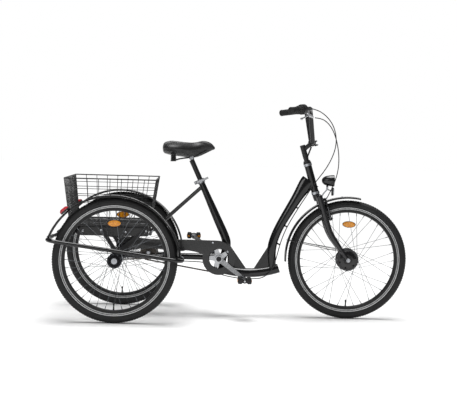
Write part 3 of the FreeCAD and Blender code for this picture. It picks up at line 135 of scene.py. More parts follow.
def add(tree, kind, inputs=None, **settings):
    """Adds one node. An input is a value, another node, or one of a node's outputs."""
    node = tree.nodes.new(kind)
    for key, value in settings.items():
        setattr(node, key, value)
    for key, value in (inputs or {}).items():
        if isinstance(value, bpy.types.Node):
            value = value.outputs[0]
        if isinstance(value, bpy.types.NodeSocket):
            tree.links.new(value, node.inputs[key])
        else:
            node.inputs[key].default_value = value
    return node


def begin(name, constants):
    """An empty material: its tree, its shader and the place on the object."""
    made = bpy.data.materials.new(name)
    made.use_nodes = True
    tree = made.node_tree
    shader = tree.nodes["Principled BSDF"]
    for key, value in constants.items():
        shader.inputs[key].default_value = value
    return made, tree, shader, add(tree, "ShaderNodeTexCoord").outputs["Object"]


def surface(name, dark, light, shine, grain_mm, relief_mm, patch_mm=120.0, **constants):
    """A finish with broad patches of tone, a fine grain in relief, and roughness between the two of shine."""
    names = {key.replace("_", " "): value for key, value in constants.items()}
    made, tree, shader, place = begin(name, names)
    patches = add(tree, "ShaderNodeTexNoise", {"Vector": place, "Scale": 1000.0 / patch_mm, "Detail": 5.0})
    tone = add(tree, "ShaderNodeMix", {0: patches, 6: linear(dark), 7: linear(light)}, data_type="RGBA")
    tree.links.new(tone.outputs[2], shader.inputs["Base Color"])
    grain = add(tree, "ShaderNodeTexNoise", {"Vector": place, "Scale": 1000.0 / grain_mm, "Detail": 3.0})
    smear = add(tree, "ShaderNodeMath", {0: patches, 1: grain}, operation="MULTIPLY")
    gloss = add(tree, "ShaderNodeMapRange", {0: smear, 1: 0.1, 2: 0.4, 3: shine[0], 4: shine[1]})
    tree.links.new(gloss.outputs[0], shader.inputs["Roughness"])
    relief = add(tree, "ShaderNodeBump", {"Height": grain, "Strength": 0.5, "Distance": relief_mm * MM})
    tree.links.new(relief.outputs[0], shader.inputs["Normal"])
    return made


def ring_metal(name, centre, dark, light, bands, shine, relief_mm=0.02, metallic=(0.1, 1.0)):
    """A turned finish round a wheel's axle: dark, with lighter machined bands between the given radii."""
    made, tree, shader, place = begin(name, {})
    local = add(tree, "ShaderNodeMapping", {"Vector": place, "Location": -centre})
    axes = add(tree, "ShaderNodeSeparateXYZ", {0: local})
    flat = add(tree, "ShaderNodeCombineXYZ", {0: axes.outputs[0], 2: axes.outputs[2]})
    radius = add(tree, "ShaderNodeVectorMath", {0: flat}, operation="LENGTH").outputs["Value"]
    stops = add(tree, "ShaderNodeMapRange", {0: radius, 1: bands[0], 2: bands[0] + 0.4 * MM})
    ends = add(tree, "ShaderNodeMapRange", {0: radius, 1: bands[1], 2: bands[1] + 0.4 * MM})
    share = add(tree, "ShaderNodeMath", {0: stops, 1: ends}, operation="SUBTRACT")
    scuffs = add(tree, "ShaderNodeTexNoise", {"Vector": place, "Scale": 260.0, "Detail": 4.0})
    tone = add(tree, "ShaderNodeMix", {0: share, 6: linear(dark), 7: linear(light)}, data_type="RGBA")
    worn = add(tree, "ShaderNodeMix", {0: scuffs, 6: tone.outputs[2], 7: linear(dark)}, data_type="RGBA")
    tree.links.new(worn.outputs[2], shader.inputs["Base Color"])
    metal = add(tree, "ShaderNodeMapRange", {0: share, 3: metallic[0], 4: metallic[1]})
    tree.links.new(metal.outputs[0], shader.inputs["Metallic"])
    gloss = add(tree, "ShaderNodeMapRange", {0: scuffs, 1: 0.3, 2: 0.7, 3: shine[0], 4: shine[1]})
    tree.links.new(gloss.outputs[0], shader.inputs["Roughness"])
    lathe_marks = add(tree, "ShaderNodeMath", {0: radius, 1: 2 * math.pi / (0.9 * MM)}, operation="MULTIPLY")
    groove = add(tree, "ShaderNodeMath", {0: lathe_marks}, operation="SINE")
    relief = add(tree, "ShaderNodeBump", {"Height": groove, "Strength": 0.35, "Distance": relief_mm * MM})
    tree.links.new(relief.outputs[0], shader.inputs["Normal"])
    return made


def prism_lens(name, dark, light, cell_mm, **constants):
    """Moulded acrylic with a field of small corner prisms behind its face, each cell painted lighter or darker at
    random: a painted glint that stands in for the light each prism catches.
    """
    names = {key.replace("_", " "): value for key, value in constants.items()}
    made, tree, shader, place = begin(name, names)
    cells = add(tree, "ShaderNodeTexVoronoi", {"Vector": place, "Scale": 1000.0 / cell_mm, "Randomness": 0.15})
    # painted glint: each prism cell's colour is set between dark and light, in place of the light that the prism
    # catches
    painted_glint = add(tree, "ShaderNodeSeparateColor", {0: cells.outputs["Color"]})
    tone = add(tree, "ShaderNodeMix", {0: painted_glint, 6: linear(dark), 7: linear(light)}, data_type="RGBA")
    tree.links.new(tone.outputs[2], shader.inputs["Base Color"])
    relief = add(tree, "ShaderNodeBump", {"Height": cells.outputs["Distance"], "Strength": 0.6, "Distance": 0.5 * MM})
    tree.links.new(relief.outputs[0], shader.inputs["Normal"])
    return made


def leathercloth(name):
    """Pebbled vinyl stretched over foam: small flat pebbles with fine valleys and a soft sheen on the crowns."""
    made, tree, shader, place = begin(name, {"Sheen Weight": 0.12, "Sheen Roughness": 0.4})
    pebbles = add(tree, "ShaderNodeTexVoronoi", {"Vector": place, "Scale": 1000.0 / 2.6, "Randomness": 0.9},
                  feature="DISTANCE_TO_EDGE")
    valleys = add(tree, "ShaderNodeMapRange", {0: pebbles.outputs[0], 1: 0.0, 2: 0.16})
    patches = add(tree, "ShaderNodeTexNoise", {"Vector": place, "Scale": 14.0, "Detail": 4.0})
    tone = add(tree, "ShaderNodeMix", {0: patches, 6: linear("0b0b0c"), 7: linear("1b1b1d")}, data_type="RGBA")
    tree.links.new(tone.outputs[2], shader.inputs["Base Color"])
    gloss = add(tree, "ShaderNodeMapRange", {0: patches, 1: 0.3, 2: 0.7, 3: 0.34, 4: 0.5})
    tree.links.new(gloss.outputs[0], shader.inputs["Roughness"])
    relief = add(tree, "ShaderNodeBump", {"Height": valleys, "Strength": 0.45, "Distance": 0.25 * MM})
    tree.links.new(relief.outputs[0], shader.inputs["Normal"])
    return made


# Stove enamel over steel tube: deep black with a clear coat, whose orange peel ripples the reflections.
ENAMEL = surface("stove_enamel_black", "050506", "0b0b0d", (0.12, 0.24), 5.0, 0.05, Coat_Weight=0.35, Coat_Roughness=0.06,
                 Specular_IOR_Level=0.35)
# The same colour in a satin coat on brackets and the bar, which spreads each highlight wider.
SATIN = surface("satin_enamel_black", "0a0a0b", "151517", (0.3, 0.42), 2.0, 0.03)
# Fork legs: enamel with a graphite tone.
FORK = surface("graphite_enamel", "0e0e10", "1b1b1e", (0.2, 0.32), 4.0, 0.04, Coat_Weight=0.2, Coat_Roughness=0.15)
# Powder coat on the basket's wire: slightly pimpled and satin.
POWDER = surface("powder_coated_wire", "0c0c0d", "19191b", (0.38, 0.55), 1.2, 0.05)
# Zinc-plated steel: bright, a little cloudy.
ZINC = surface("zinc_plated_steel", "9a9da2", "c6c8cc", (0.2, 0.38), 3.0, 0.02, 35.0, Metallic=1.0)
# Drawn stainless wire of the spokes.
STAINLESS = surface("drawn_stainless_wire", "54575b", "7d8084", (0.16, 0.3), 1.5, 0.02, 30.0, Metallic=1.0)
# Cast and polished aluminium of the cranks, with a soft haze.
POLISHED = surface("polished_aluminium", "a3a5a8", "cfd0d2", (0.18, 0.34), 2.5, 0.02, 45.0, Metallic=1.0)
# Black-anodised aluminium: metal that only shows at the highlights.
ANODISED = surface("black_anodised_aluminium", "101012", "1f1f22", (0.26, 0.4), 2.0, 0.02, 40.0, Metallic=0.85)
# Chain steel with oil and dust in its corners.
OILED = surface("oiled_chain_steel", "2b2724", "6a6560", (0.28, 0.55), 2.5, 0.05, 14.0, Metallic=0.9)
# Moulded ABS with a spark-eroded grain.
GRAINED = surface("grained_black_plastic", "0d0d0e", "1a1a1c", (0.42, 0.6), 0.9, 0.05, 60.0)
# Gloss ABS of the chain case and the lamp, with hairline scuffs.
GLOSS_ABS = surface("gloss_black_plastic", "060607", "0e0e10", (0.14, 0.3), 6.0, 0.03, 70.0, Coat_Weight=0.25)
# Moulded rubber of grips, pedals and valve stems: dry and even.
RUBBER = surface("moulded_rubber", "0c0c0c", "1c1c1c", (0.6, 0.8), 1.0, 0.06, 40.0)
# Tyre rubber: dusty at the tread, with fine flow marks.
TYRE = surface("tyre_rubber", "0b0b0c", "19191a", (0.55, 0.8), 1.6, 0.1, 70.0)
# Glass-bead strip bonded to the tyre's wall: pale grey and faintly sparkling.
BEADED = surface("glass_bead_strip", "c4c6c8", "f0f0f0", (0.4, 0.6), 0.8, 0.04, 12.0)
# Vacuum-metallised plastic of the lamp's bowl.
MIRROR = surface("metallised_plastic", "d5d7da", "f0f1f2", (0.04, 0.1), 8.0, 0.01, 50.0, Metallic=1.0)
# Optical acrylic and lenses, with a painted glint in each prism cell.
AMBER = prism_lens("amber_reflector_acrylic", "c86a00", "ffb226", 2.4, Roughness=0.12, Coat_Weight=0.6)
RED = prism_lens("red_lens_acrylic", "8f0712", "e03040", 3.2, Roughness=0.1, Coat_Weight=0.6)
WHITE = prism_lens("white_reflector_acrylic", "b9bcc0", "f2f3f4", 2.6, Roughness=0.1, Coat_Weight=0.5)
LENS = prism_lens("clear_lens_acrylic", "e8ecef", "ffffff", 5.0, Roughness=0.04, Transmission_Weight=0.9, IOR=1.49)
SADDLE_SKIN = leathercloth("pebbled_vinyl")
THREAD = surface("waxed_thread", "1c1c1e", "3a3a3d", (0.5, 0.7), 0.6, 0.03, 10.0)


# ---- mesh tools ----
def lathe(bm, profile, origin, axis, steps=32, closed=False):
    """Turns (along, radius) corners round an axis. A corner with no radius is a pole."""
    axis = axis.normalized()
    side = axis.orthogonal().normalized()
    front = axis.cross(side)
    rings = []
    for along, radius in profile:
        spot = origin + axis * along
        if radius < 1e-7:
            rings.append([bm.verts.new(spot)] * steps)
            continue
        turns = [2 * math.pi * i / steps for i in range(steps)]
        rings.append([bm.verts.new(spot + (side * math.cos(t) + front * math.sin(t)) * radius) for t in turns])
    pairs = list(zip(rings, rings[1:])) + ([(rings[-1], rings[0])] if closed else [])
    for near, far in pairs:
        for i in range(steps):
            corners = [near[i - 1], near[i], far[i], far[i - 1]]
            kept = [v for k, v in enumerate(corners) if v is not corners[k - 1]]
            if len(set(kept)) > 2:
                bm.faces.new(list(dict.fromkeys(kept)))


def disc(bm, origin, axis, radius, thick, bevel=0.6 * MM, steps=28):
    """A turned disc or pin with a small chamfer, standing on its origin."""
    profile = [(0, 0), (0, radius - bevel), (bevel, radius), (thick - bevel, radius), (thick, radius - bevel), (thick, 0)]
    lathe(bm, profile, origin, axis, steps)


def sweep(bm, points, radius, sides=10, cyclic=False):
    """A round rod along a line of points; radius may be one number or one for each point."""
    radii = radius if isinstance(radius, list) else [radius] * len(points)
    count = len(points)
    rings = []
    side = None
    for i, spot in enumerate(points):
        before = points[i - 1] if i or cyclic else spot
        after = points[(i + 1) % count] if i < count - 1 or cyclic else spot
        along = (after - before).normalized()
        side = along.orthogonal().normalized() if side is None else (side - along * side.dot(along)).normalized()
        front = along.cross(side)
        turns = [2 * math.pi * k / sides for k in range(sides)]
        rings.append([bm.verts.new(spot + (side * math.cos(t) + front * math.sin(t)) * radii[i]) for t in turns])
    for near, far in list(zip(rings, rings[1:])) + ([(rings[-1], rings[0])] if cyclic else []):
        for k in range(sides):
            bm.faces.new([near[k - 1], near[k], far[k], far[k - 1]])
    if not cyclic:
        bm.faces.new(rings[0])
        bm.faces.new(rings[-1][::-1])


def slab(bm, outline, origin, along, up, thick, bevel=0.0):
    """A flat outline of (along, up) corners given thickness about its own plane, with its rims bevelled."""
    normal = along.cross(up).normalized()
    faces = []
    for shift in (-thick / 2, thick / 2):
        corners = [bm.verts.new(origin + along * u + up * v + normal * shift) for u, v in outline]
        faces.append(corners)
    rims = [bm.faces.new(faces[0]), bm.faces.new(faces[1])]
    for i in range(len(outline)):
        rims.append(bm.faces.new([faces[0][i - 1], faces[0][i], faces[1][i], faces[1][i - 1]]))
    if bevel:
        edges = list({edge for face in rims[:2] for edge in face.edges})
        bmesh.ops.bevel(bm, geom=edges, offset=bevel, segments=2, affect="EDGES", profile=0.6)


def block(bm, centre, size, bevel, along=Vector((1, 0, 0)), up=Z_AXIS):
    """A box with every edge rounded."""
    normal = along.cross(up).normalized()
    turn = Matrix((along, -normal, up)).transposed().to_4x4()
    shape = Matrix.Translation(centre) @ turn @ Matrix.Diagonal((size[0], size[1], size[2], 1))
    made = bmesh.ops.create_cube(bm, size=1.0, matrix=shape)
    edges = list({edge for vert in made["verts"] for edge in vert.link_edges})
    bmesh.ops.bevel(bm, geom=edges, offset=bevel, segments=2, affect="EDGES", profile=0.6)


def oval_outline(half_along, half_up, count=28):
    turns = [2 * math.pi * i / count for i in range(count)]
    return [(half_along * math.cos(t), half_up * math.sin(t)) for t in turns]


def round_box_outline(half_along, half_up, corner, steps=5):
    """A rectangle with round corners."""
    outline = []
    for quarter, (sx, sy) in enumerate(((1, 1), (-1, 1), (-1, -1), (1, -1))):
        for i in range(steps + 1):
            turn = (quarter + i / steps) * math.pi / 2
            outline.append((sx * (half_along - corner) + corner * math.cos(turn),
                            sy * (half_up - corner) + corner * math.sin(turn)))
    return outline


def shown(name, bm, sharp=38):
    """The mesh as an object, smooth except along its sharp edges."""
    bmesh.ops.recalc_face_normals(bm, faces=bm.faces)
    mesh = bpy.data.meshes.new(name)
    bm.to_mesh(mesh)
    bm.free()
    mesh.shade_smooth()
    mesh.set_sharp_from_angle(angle=math.radians(sharp))
    made = bpy.data.objects.new(name, mesh)
    bpy.context.scene.collection.objects.link(made)
    return made


def dress(made, finish, body, nodes=()):
    """Gives a finished piece its material, its body and the CAD nodes that it stands for."""
    made.data.materials.clear()
    made.data.materials.append(finish)
    if body:
        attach(made, body)
    if nodes:
        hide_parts(*nodes)
    return made


# ---- geometry trees ----
def new_tree(name, sockets):
    """An empty geometry tree with named inputs; returns it with its input and output nodes."""
    tree = bpy.data.node_groups.new(name, "GeometryNodeTree")
    tree.interface.new_socket("Geometry", in_out="OUTPUT", socket_type="NodeSocketGeometry")
    tree.interface.new_socket("Geometry", in_out="INPUT", socket_type="NodeSocketGeometry")
    for label, kind in sockets:
        tree.interface.new_socket(label, in_out="INPUT", socket_type="NodeSocket" + kind)
    return tree, tree.nodes.new("NodeGroupInput"), tree.nodes.new("NodeGroupOutput")


def close_tree(tree, geometry, finish, exit_node):
    """Every tree ends in real geometry with its material set."""
    real = add(tree, "GeometryNodeRealizeInstances", {0: geometry})
    painted = add(tree, "GeometryNodeSetMaterial", {"Geometry": real, "Material": finish})
    tree.links.new(painted.outputs[0], exit_node.inputs[0])


def turned_copies_tree():
    """Copies of the geometry turned round an axle that runs along Y."""
    tree, given, exit_node = new_tree("turned_copies", (("Count", "Int"), ("Centre", "Vector"), ("Material", "Material")))
    back = add(tree, "ShaderNodeVectorMath", {0: given.outputs["Centre"], "Scale": -1.0}, operation="SCALE")
    home = add(tree, "GeometryNodeTransform", {"Geometry": given.outputs["Geometry"], "Translation": back})
    spots = add(tree, "GeometryNodePoints", {"Count": given.outputs["Count"]})
    step = add(tree, "ShaderNodeMath", {0: 2 * math.pi, 1: given.outputs["Count"]}, operation="DIVIDE")
    turn = add(tree, "ShaderNodeMath", {0: add(tree, "GeometryNodeInputIndex"), 1: step}, operation="MULTIPLY")
    euler = add(tree, "ShaderNodeCombineXYZ", {"Y": turn})
    rotation = add(tree, "FunctionNodeEulerToRotation", {0: euler})
    copies = add(tree, "GeometryNodeInstanceOnPoints", {"Points": spots, "Instance": home, "Rotation": rotation})
    real = add(tree, "GeometryNodeRealizeInstances", {0: copies})
    there = add(tree, "GeometryNodeTransform", {"Geometry": real, "Translation": given.outputs["Centre"]})
    close_tree(tree, there, given.outputs["Material"], exit_node)
    return tree


def spoke_tree():
    """Lines of one lacing group, copied round the hub and drawn as wire of each point's own thickness."""
    tree, given, exit_node = new_tree("laced_spokes", (("Groups", "Int"), ("Centre", "Vector"), ("Material", "Material")))
    back = add(tree, "ShaderNodeVectorMath", {0: given.outputs["Centre"], "Scale": -1.0}, operation="SCALE")
    home = add(tree, "GeometryNodeTransform", {"Geometry": given.outputs["Geometry"], "Translation": back})
    spots = add(tree, "GeometryNodePoints", {"Count": given.outputs["Groups"]})
    step = add(tree, "ShaderNodeMath", {0: 2 * math.pi, 1: given.outputs["Groups"]}, operation="DIVIDE")
    turn = add(tree, "ShaderNodeMath", {0: add(tree, "GeometryNodeInputIndex"), 1: step}, operation="MULTIPLY")
    rotation = add(tree, "FunctionNodeEulerToRotation", {0: add(tree, "ShaderNodeCombineXYZ", {"Y": turn})})
    copies = add(tree, "GeometryNodeInstanceOnPoints", {"Points": spots, "Instance": home, "Rotation": rotation})
    real = add(tree, "GeometryNodeRealizeInstances", {0: copies})
    lines = add(tree, "GeometryNodeMeshToCurve", {"Mesh": real})
    thick = add(tree, "GeometryNodeInputNamedAttribute", {"Name": "thick"}, data_type="FLOAT")
    section = add(tree, "GeometryNodeCurvePrimitiveCircle", {"Resolution": 8, "Radius": 1.0})
    inputs = {"Curve": lines, "Profile Curve": section, "Scale": thick.outputs[0], "Fill Caps": True}
    wires = add(tree, "GeometryNodeCurveToMesh", inputs)
    there = add(tree, "GeometryNodeTransform", {"Geometry": wires, "Translation": given.outputs["Centre"]})
    close_tree(tree, there, given.outputs["Material"], exit_node)
    return tree


def wire_panel_tree():
    """A panel of crossed wires between four corners: uprights spread along A-B and rails along A-D."""
    corners = tuple((label, "Vector") for label in ("A", "B", "C", "D"))
    sockets = corners + (("Uprights", "Int"), ("Rails", "Int"), ("Wire Radius", "Float"), ("Material", "Material"))
    tree, given, exit_node = new_tree("wire_panel", sockets)
    parts = []
    for count, spread, reach in (("Uprights", (1, 0, 0), (0, 0, 1)), ("Rails", (0, 0, 1), (1, 0, 0))):
        ends = {"Start Location": (0, 0, 0), "Offset": reach, "Count": 2}
        line = add(tree, "GeometryNodeMeshLine", ends, mode="END_POINTS")
        ends = {"Start Location": (0, 0, 0), "Offset": spread, "Count": given.outputs[count]}
        spots = add(tree, "GeometryNodeMeshLine", ends, mode="END_POINTS")
        parts.append(add(tree, "GeometryNodeInstanceOnPoints", {"Points": spots, "Instance": line}))
    joined = add(tree, "GeometryNodeJoinGeometry")
    for part in parts:
        tree.links.new(part.outputs[0], joined.inputs[0])
    real = add(tree, "GeometryNodeRealizeInstances", {0: joined})
    share = add(tree, "ShaderNodeSeparateXYZ", {0: add(tree, "GeometryNodeInputPosition")})
    low = add(tree, "ShaderNodeMix", {0: share.outputs[0], 4: given.outputs["A"], 5: given.outputs["B"]}, data_type="VECTOR")
    top = add(tree, "ShaderNodeMix", {0: share.outputs[0], 4: given.outputs["D"], 5: given.outputs["C"]}, data_type="VECTOR")
    spot = add(tree, "ShaderNodeMix", {0: share.outputs[2], 4: low.outputs[1], 5: top.outputs[1]}, data_type="VECTOR")
    placed = add(tree, "GeometryNodeSetPosition", {"Geometry": real, "Position": spot.outputs[1]})
    lines = add(tree, "GeometryNodeMeshToCurve", {"Mesh": placed})
    section = add(tree, "GeometryNodeCurvePrimitiveCircle", {"Resolution": 8, "Radius": given.outputs["Wire Radius"]})
    wires = add(tree, "GeometryNodeCurveToMesh", {"Curve": lines, "Profile Curve": section, "Fill Caps": True})
    close_tree(tree, wires, given.outputs["Material"], exit_node)
    return tree


def chain_tree():
    """Outer and inner links by turns round a closed line."""
    sockets = (("Links", "Int"), ("Outer", "Object"), ("Inner", "Object"), ("Material", "Material"))
    tree, given, exit_node = new_tree("roller_chain", sockets)
    loop = add(tree, "GeometryNodeMeshToCurve", {"Mesh": given.outputs["Geometry"]})
    spots = add(tree, "GeometryNodeCurveToPoints", {"Curve": loop, "Count": given.outputs["Links"]})
    rotation = add(tree, "FunctionNodeAlignRotationToVector", {"Vector": spots.outputs["Tangent"]}, axis="X", pivot_axis="Y")
    join = add(tree, "GeometryNodeJoinGeometry")
    for label in ("Outer", "Inner"):
        source = add(tree, "GeometryNodeObjectInfo", {"Object": given.outputs[label]})
        whole = add(tree, "GeometryNodeGeometryToInstance", {0: source.outputs["Geometry"]})
        tree.links.new(whole.outputs[0], join.inputs[0])
    odd = add(tree, "ShaderNodeMath", {0: add(tree, "GeometryNodeInputIndex"), 1: 2.0}, operation="MODULO")
    inputs = {"Points": spots, "Instance": join, "Pick Instance": True, "Instance Index": odd, "Rotation": rotation}
    links = add(tree, "GeometryNodeInstanceOnPoints", inputs)
    close_tree(tree, links, given.outputs["Material"], exit_node)
    return tree


def fastener_tree():
    """One fastener on every point, standing along the point's own direction."""
    tree, given, exit_node = new_tree("fasteners", (("Fastener", "Object"), ("Material", "Material")))
    source = add(tree, "GeometryNodeObjectInfo", {"Object": given.outputs["Fastener"]})
    aim = add(tree, "GeometryNodeInputNamedAttribute", {"Name": "aim"}, data_type="FLOAT_VECTOR")
    rotation = add(tree, "FunctionNodeAlignRotationToVector", {"Vector": aim.outputs[0]}, axis="Z")
    inputs = {"Points": given.outputs["Geometry"], "Instance": source.outputs["Geometry"], "Rotation": rotation}
    close_tree(tree, add(tree, "GeometryNodeInstanceOnPoints", inputs), given.outputs["Material"], exit_node)
    return tree


def grown(made, tree, values):
    """Runs a tree on an object and leaves the result as the object's plain mesh."""
    step = made.modifiers.new(tree.name, "NODES")
    step.node_group = tree
    for item in tree.interface.items_tree:
        if item.in_out == "INPUT" and item.name in values:
            step[item.identifier] = values[item.name]
    graph = bpy.context.evaluated_depsgraph_get()
    mesh = bpy.data.meshes.new_from_object(made.evaluated_get(graph), depsgraph=graph)
    made.modifiers.remove(step)
    made.data = mesh
    mesh.shade_smooth()
    mesh.set_sharp_from_angle(angle=math.radians(40))
    return made


def line_object(name, vertices, edges):
    mesh = bpy.data.meshes.new(name)
    mesh.from_pydata([tuple(v) for v in vertices], edges, [])
    made = bpy.data.objects.new(name, mesh)
    bpy.context.scene.collection.objects.link(made)
    return made


TURNED = turned_copies_tree()
LACED = spoke_tree()
PANEL = wire_panel_tree()
CHAIN = chain_tree()
FASTENERS = fastener_tree()


def bolt_shape(name, radius, height):
    """A hexagon head on a washer."""
    bm = bmesh.new()
    disc(bm, Vector((0, 0, 0)), Z_AXIS, radius * 1.5, height * 0.25, 0.2 * MM, 16)
    lathe(bm, [(height * 0.25, 0), (height * 0.25, radius), (height * 0.85, radius), (height, radius * 0.82), (height, 0)],
          Vector((0, 0, 0)), Z_AXIS, 6)
    return shown(name, bm, 30)


BOLT_SMALL = bolt_shape("bolt_small", 3.2 * MM, 3.6 * MM)
BOLT_LARGE = bolt_shape("bolt_large", 6.5 * MM, 6.0 * MM)


def bolts(name, kind, places, body, finish=ZINC):
    """Bolt heads at (place, direction) pairs, as one piece."""
    made = line_object(name, [spot for spot, aim in places], [])
    aims = made.data.attributes.new("aim", "FLOAT_VECTOR", "POINT")
    for i, (spot, aim) in enumerate(places):
        aims.data[i].vector = aim.normalized()
    grown(made, FASTENERS, {"Fastener": kind, "Material": finish})
    return dress(made, finish, body)


# ---- wheels ----
TYRE_SECTION_R = 23.5 * MM
TYRE_MIDDLE_R = 277.0 * MM
TREAD_DEPTH = 1.4 * MM
RIM_INNER_R = 238.0 * MM
SPOKE_COUNT = 36
SPOKE_WIRE_R = 1.0 * MM
NIPPLE_R = 1.9 * MM
TREAD_PITCHES = 144
BRAKE_TRACK = (0.2535, 0.2588)

WHEELS = (
    ("right", "rear_axle", 31.0, 28.0),
    ("left", "left_wheel", 31.0, 28.0),
    ("front", "front_wheel", 52.0, 24.0),
)


def tyre_point(section_turn, lift=0.0):
    """(y, radius) on the tyre's skin at an angle from the crown, raised by lift."""
    reach = TYRE_SECTION_R - TREAD_DEPTH + lift
    return reach * math.sin(section_turn), TYRE_MIDDLE_R + reach * math.cos(section_turn)


def tyre_body(name, centre, body):
    """A lathe-turned casing with moulded rings on both walls."""
    rings = {62: 0.7, 66: 0.7, 84: 0.5, 87: 0.5, 116: 0.8, 120: 0.8}
    turns = sorted(set(list(range(0, 138, 6)) + list(rings) + [k - 2 for k in rings] + [k + 2 for k in rings]))
    half = []
    for degrees in turns:
        half.append(tyre_point(math.radians(degrees), rings.get(degrees, 0.0) * MM))
    foot = [(11.0 * MM, 257.0 * MM), (9.0 * MM, 254.0 * MM)]
    half += foot
    profile = [(-y, r) for y, r in reversed(half)] + half[1:]
    bm = bmesh.new()
    lathe(bm, profile, centre, Y_AXIS, 180, closed=True)
    return dress(shown("tyre_body_" + name, bm, 60), TYRE, body, ["tyre_" + name])


def tread_knobs(name, centre, body):
    """One pitch of the tread, five knobs wide, copied round the tyre."""
    bm = bmesh.new()
    pitch = 2 * math.pi / TREAD_PITCHES
    rows = ((-56, 0.30, 0.34, 8), (-33, 0.10, 0.36, 8), (-11, 0.34, 0.30, 7), (11, 0.06, 0.30, 7),
            (33, 0.34, 0.36, 8), (56, 0.10, 0.34, 8))
    for degrees, start, length, width in rows:
        corners = []
        for lift, shrink in ((-0.8 * MM, 0.0), (TREAD_DEPTH, 0.8)):
            for dy, dt in ((-1, 0), (1, 0.12), (1, 1.12), (-1, 1)):
                y, radius = tyre_point(math.radians(degrees + dy * (width - shrink)), lift)
                share = start + length * (dt * (1 - 0.1 * shrink) + 0.05 * shrink)
                turn = (share - 0.5) * pitch
                corners.append(bm.verts.new(centre + Vector((radius * math.sin(turn), y, radius * math.cos(turn)))))
        for face in ((0, 1, 2, 3), (4, 5, 6, 7), (0, 1, 5, 4), (1, 2, 6, 5), (2, 3, 7, 6), (3, 0, 4, 7)):
            bm.faces.new([corners[k] for k in face])
    made = grown(shown("tyre_tread_" + name, bm), TURNED, {"Count": TREAD_PITCHES, "Centre": centre, "Material": TYRE})
    return dress(made, TYRE, body)


def bead_strip(name, centre, body):
    """The pale reflecting strip low on both walls of the tyre."""
    bm = bmesh.new()
    for side in (-1, 1):
        profile = []
        for degrees, lift in ((125, 0.0), (126, 0.9), (133, 0.9), (134, 0.0)):
            y, radius = tyre_point(math.radians(degrees), lift * MM)
            profile.append((side * y, radius))
        lathe(bm, profile, centre, Y_AXIS, 160, closed=True)
    return dress(shown("tyre_strip_" + name, bm, 50), BEADED, body)


def spokes(name, centre, body, flange_r, flange_y):
    """One lacing group of four spokes with their nipples, copied nine times."""
    step = 2 * math.pi / SPOKE_COUNT
    vertices, edges, thick = [], [], []
    for i in range(4):
        side = 1 if i % 2 else -1
        lead = 1 if i // 2 else -1
        turn = i * step
        hub_turn = turn + lead * 6 * step
        hub_y = side * (flange_y + lead * 2.5)
        foot = centre + Vector((flange_r * MM * math.cos(hub_turn), hub_y * MM, flange_r * MM * math.sin(hub_turn)))
        head = foot - Y_AXIS * side * lead * 4.5 * MM
        end = centre + Vector((RIM_INNER_R * math.cos(turn), side * 3 * MM, RIM_INNER_R * math.sin(turn)))
        back = (foot - end).normalized()
        run = [(head, 1.9 * MM), (head + (foot - head) * 0.2, SPOKE_WIRE_R), (foot, SPOKE_WIRE_R),
               (end + back * 14.5 * MM, SPOKE_WIRE_R), (end + back * 14 * MM, NIPPLE_R), (end - back * 1 * MM, NIPPLE_R)]
        edges += [(len(vertices) + k, len(vertices) + k + 1) for k in range(len(run) - 1)]
        vertices += [spot for spot, radius in run]
        thick += [radius for spot, radius in run]
    made = line_object("spokes_wire_" + name, vertices, edges)
    sizes = made.data.attributes.new("thick", "FLOAT", "POINT")
    for k, radius in enumerate(thick):
        sizes.data[k].value = radius
    grown(made, LACED, {"Groups": SPOKE_COUNT // 4, "Centre": centre, "Material": STAINLESS})
    return dress(made, STAINLESS, body, ["spokes_" + name])


def wheel_reflector(name, centre, body, lean):
    """An oval amber reflector clipped to the spokes, with a raised rim round its prisms."""
    out = Vector((math.sin(lean), 0, math.cos(lean)))
    along = Vector((out.z, 0, -out.x))
    spot = centre + out * 178 * MM
    bm = bmesh.new()
    slab(bm, oval_outline(34 * MM, 16.5 * MM), spot, along, out, 5 * MM, 0.8 * MM)
    for side in (-1, 1):
        block(bm, spot + along * side * 24 * MM, (5 * MM, 9 * MM, 8 * MM), 1 * MM, along, out)
    dress(shown("reflector_back_" + name, bm), GRAINED, body)
    bm = bmesh.new()
    for side in (-1, 1):
        face = spot + Y_AXIS * side * 3.4 * MM
        slab(bm, oval_outline(31 * MM, 14.5 * MM), face, along, out, 2.6 * MM, 1.0 * MM)
        slab(bm, oval_outline(25 * MM, 8.5 * MM), face + Y_AXIS * side * 0.9 * MM, along, out, 2.2 * MM, 0.8 * MM)
    dress(shown("reflector_amber_" + name, bm), AMBER, body)


def valve(name, centre, body):
    """A rubber valve stem with its cap, pointing from the rim towards the hub."""
    bm = bmesh.new()
    foot = centre - Z_AXIS * 240 * MM
    lathe(bm, [(0, 0), (0, 5.0 * MM), (3 * MM, 4.2 * MM), (12 * MM, 3.3 * MM), (24 * MM, 3.0 * MM), (24.5 * MM, 4.0 * MM),
               (33 * MM, 3.8 * MM), (35 * MM, 2.6 * MM), (35 * MM, 0)], foot, Z_AXIS, 18)
    dress(shown("valve_" + name, bm), RUBBER, body)


def make_wheels():
    for name, body, flange_r, flange_y in WHEELS:
        centre = middle("rim_" + name)
        tyre_body(name, centre, body)
        tread_knobs(name, centre, body)
        bead_strip(name, centre, body)
        spokes(name, centre, body, flange_r, flange_y)
        wheel_reflector(name, centre, body, -0.03 if name != "front" else 0.03)
        valve(name, centre, body)
        finish = ring_metal("black_anodised_rim_" + name, centre, "0b0b0c", "eceded", BRAKE_TRACK, (0.35, 0.5))
        wear(finish, ["rim_" + name])


def wear(finish, nodes):
    """Gives CAD nodes a finish."""
    for node in nodes:
        for slot in frame["nodes"][node].material_slots:
            slot.material = finish


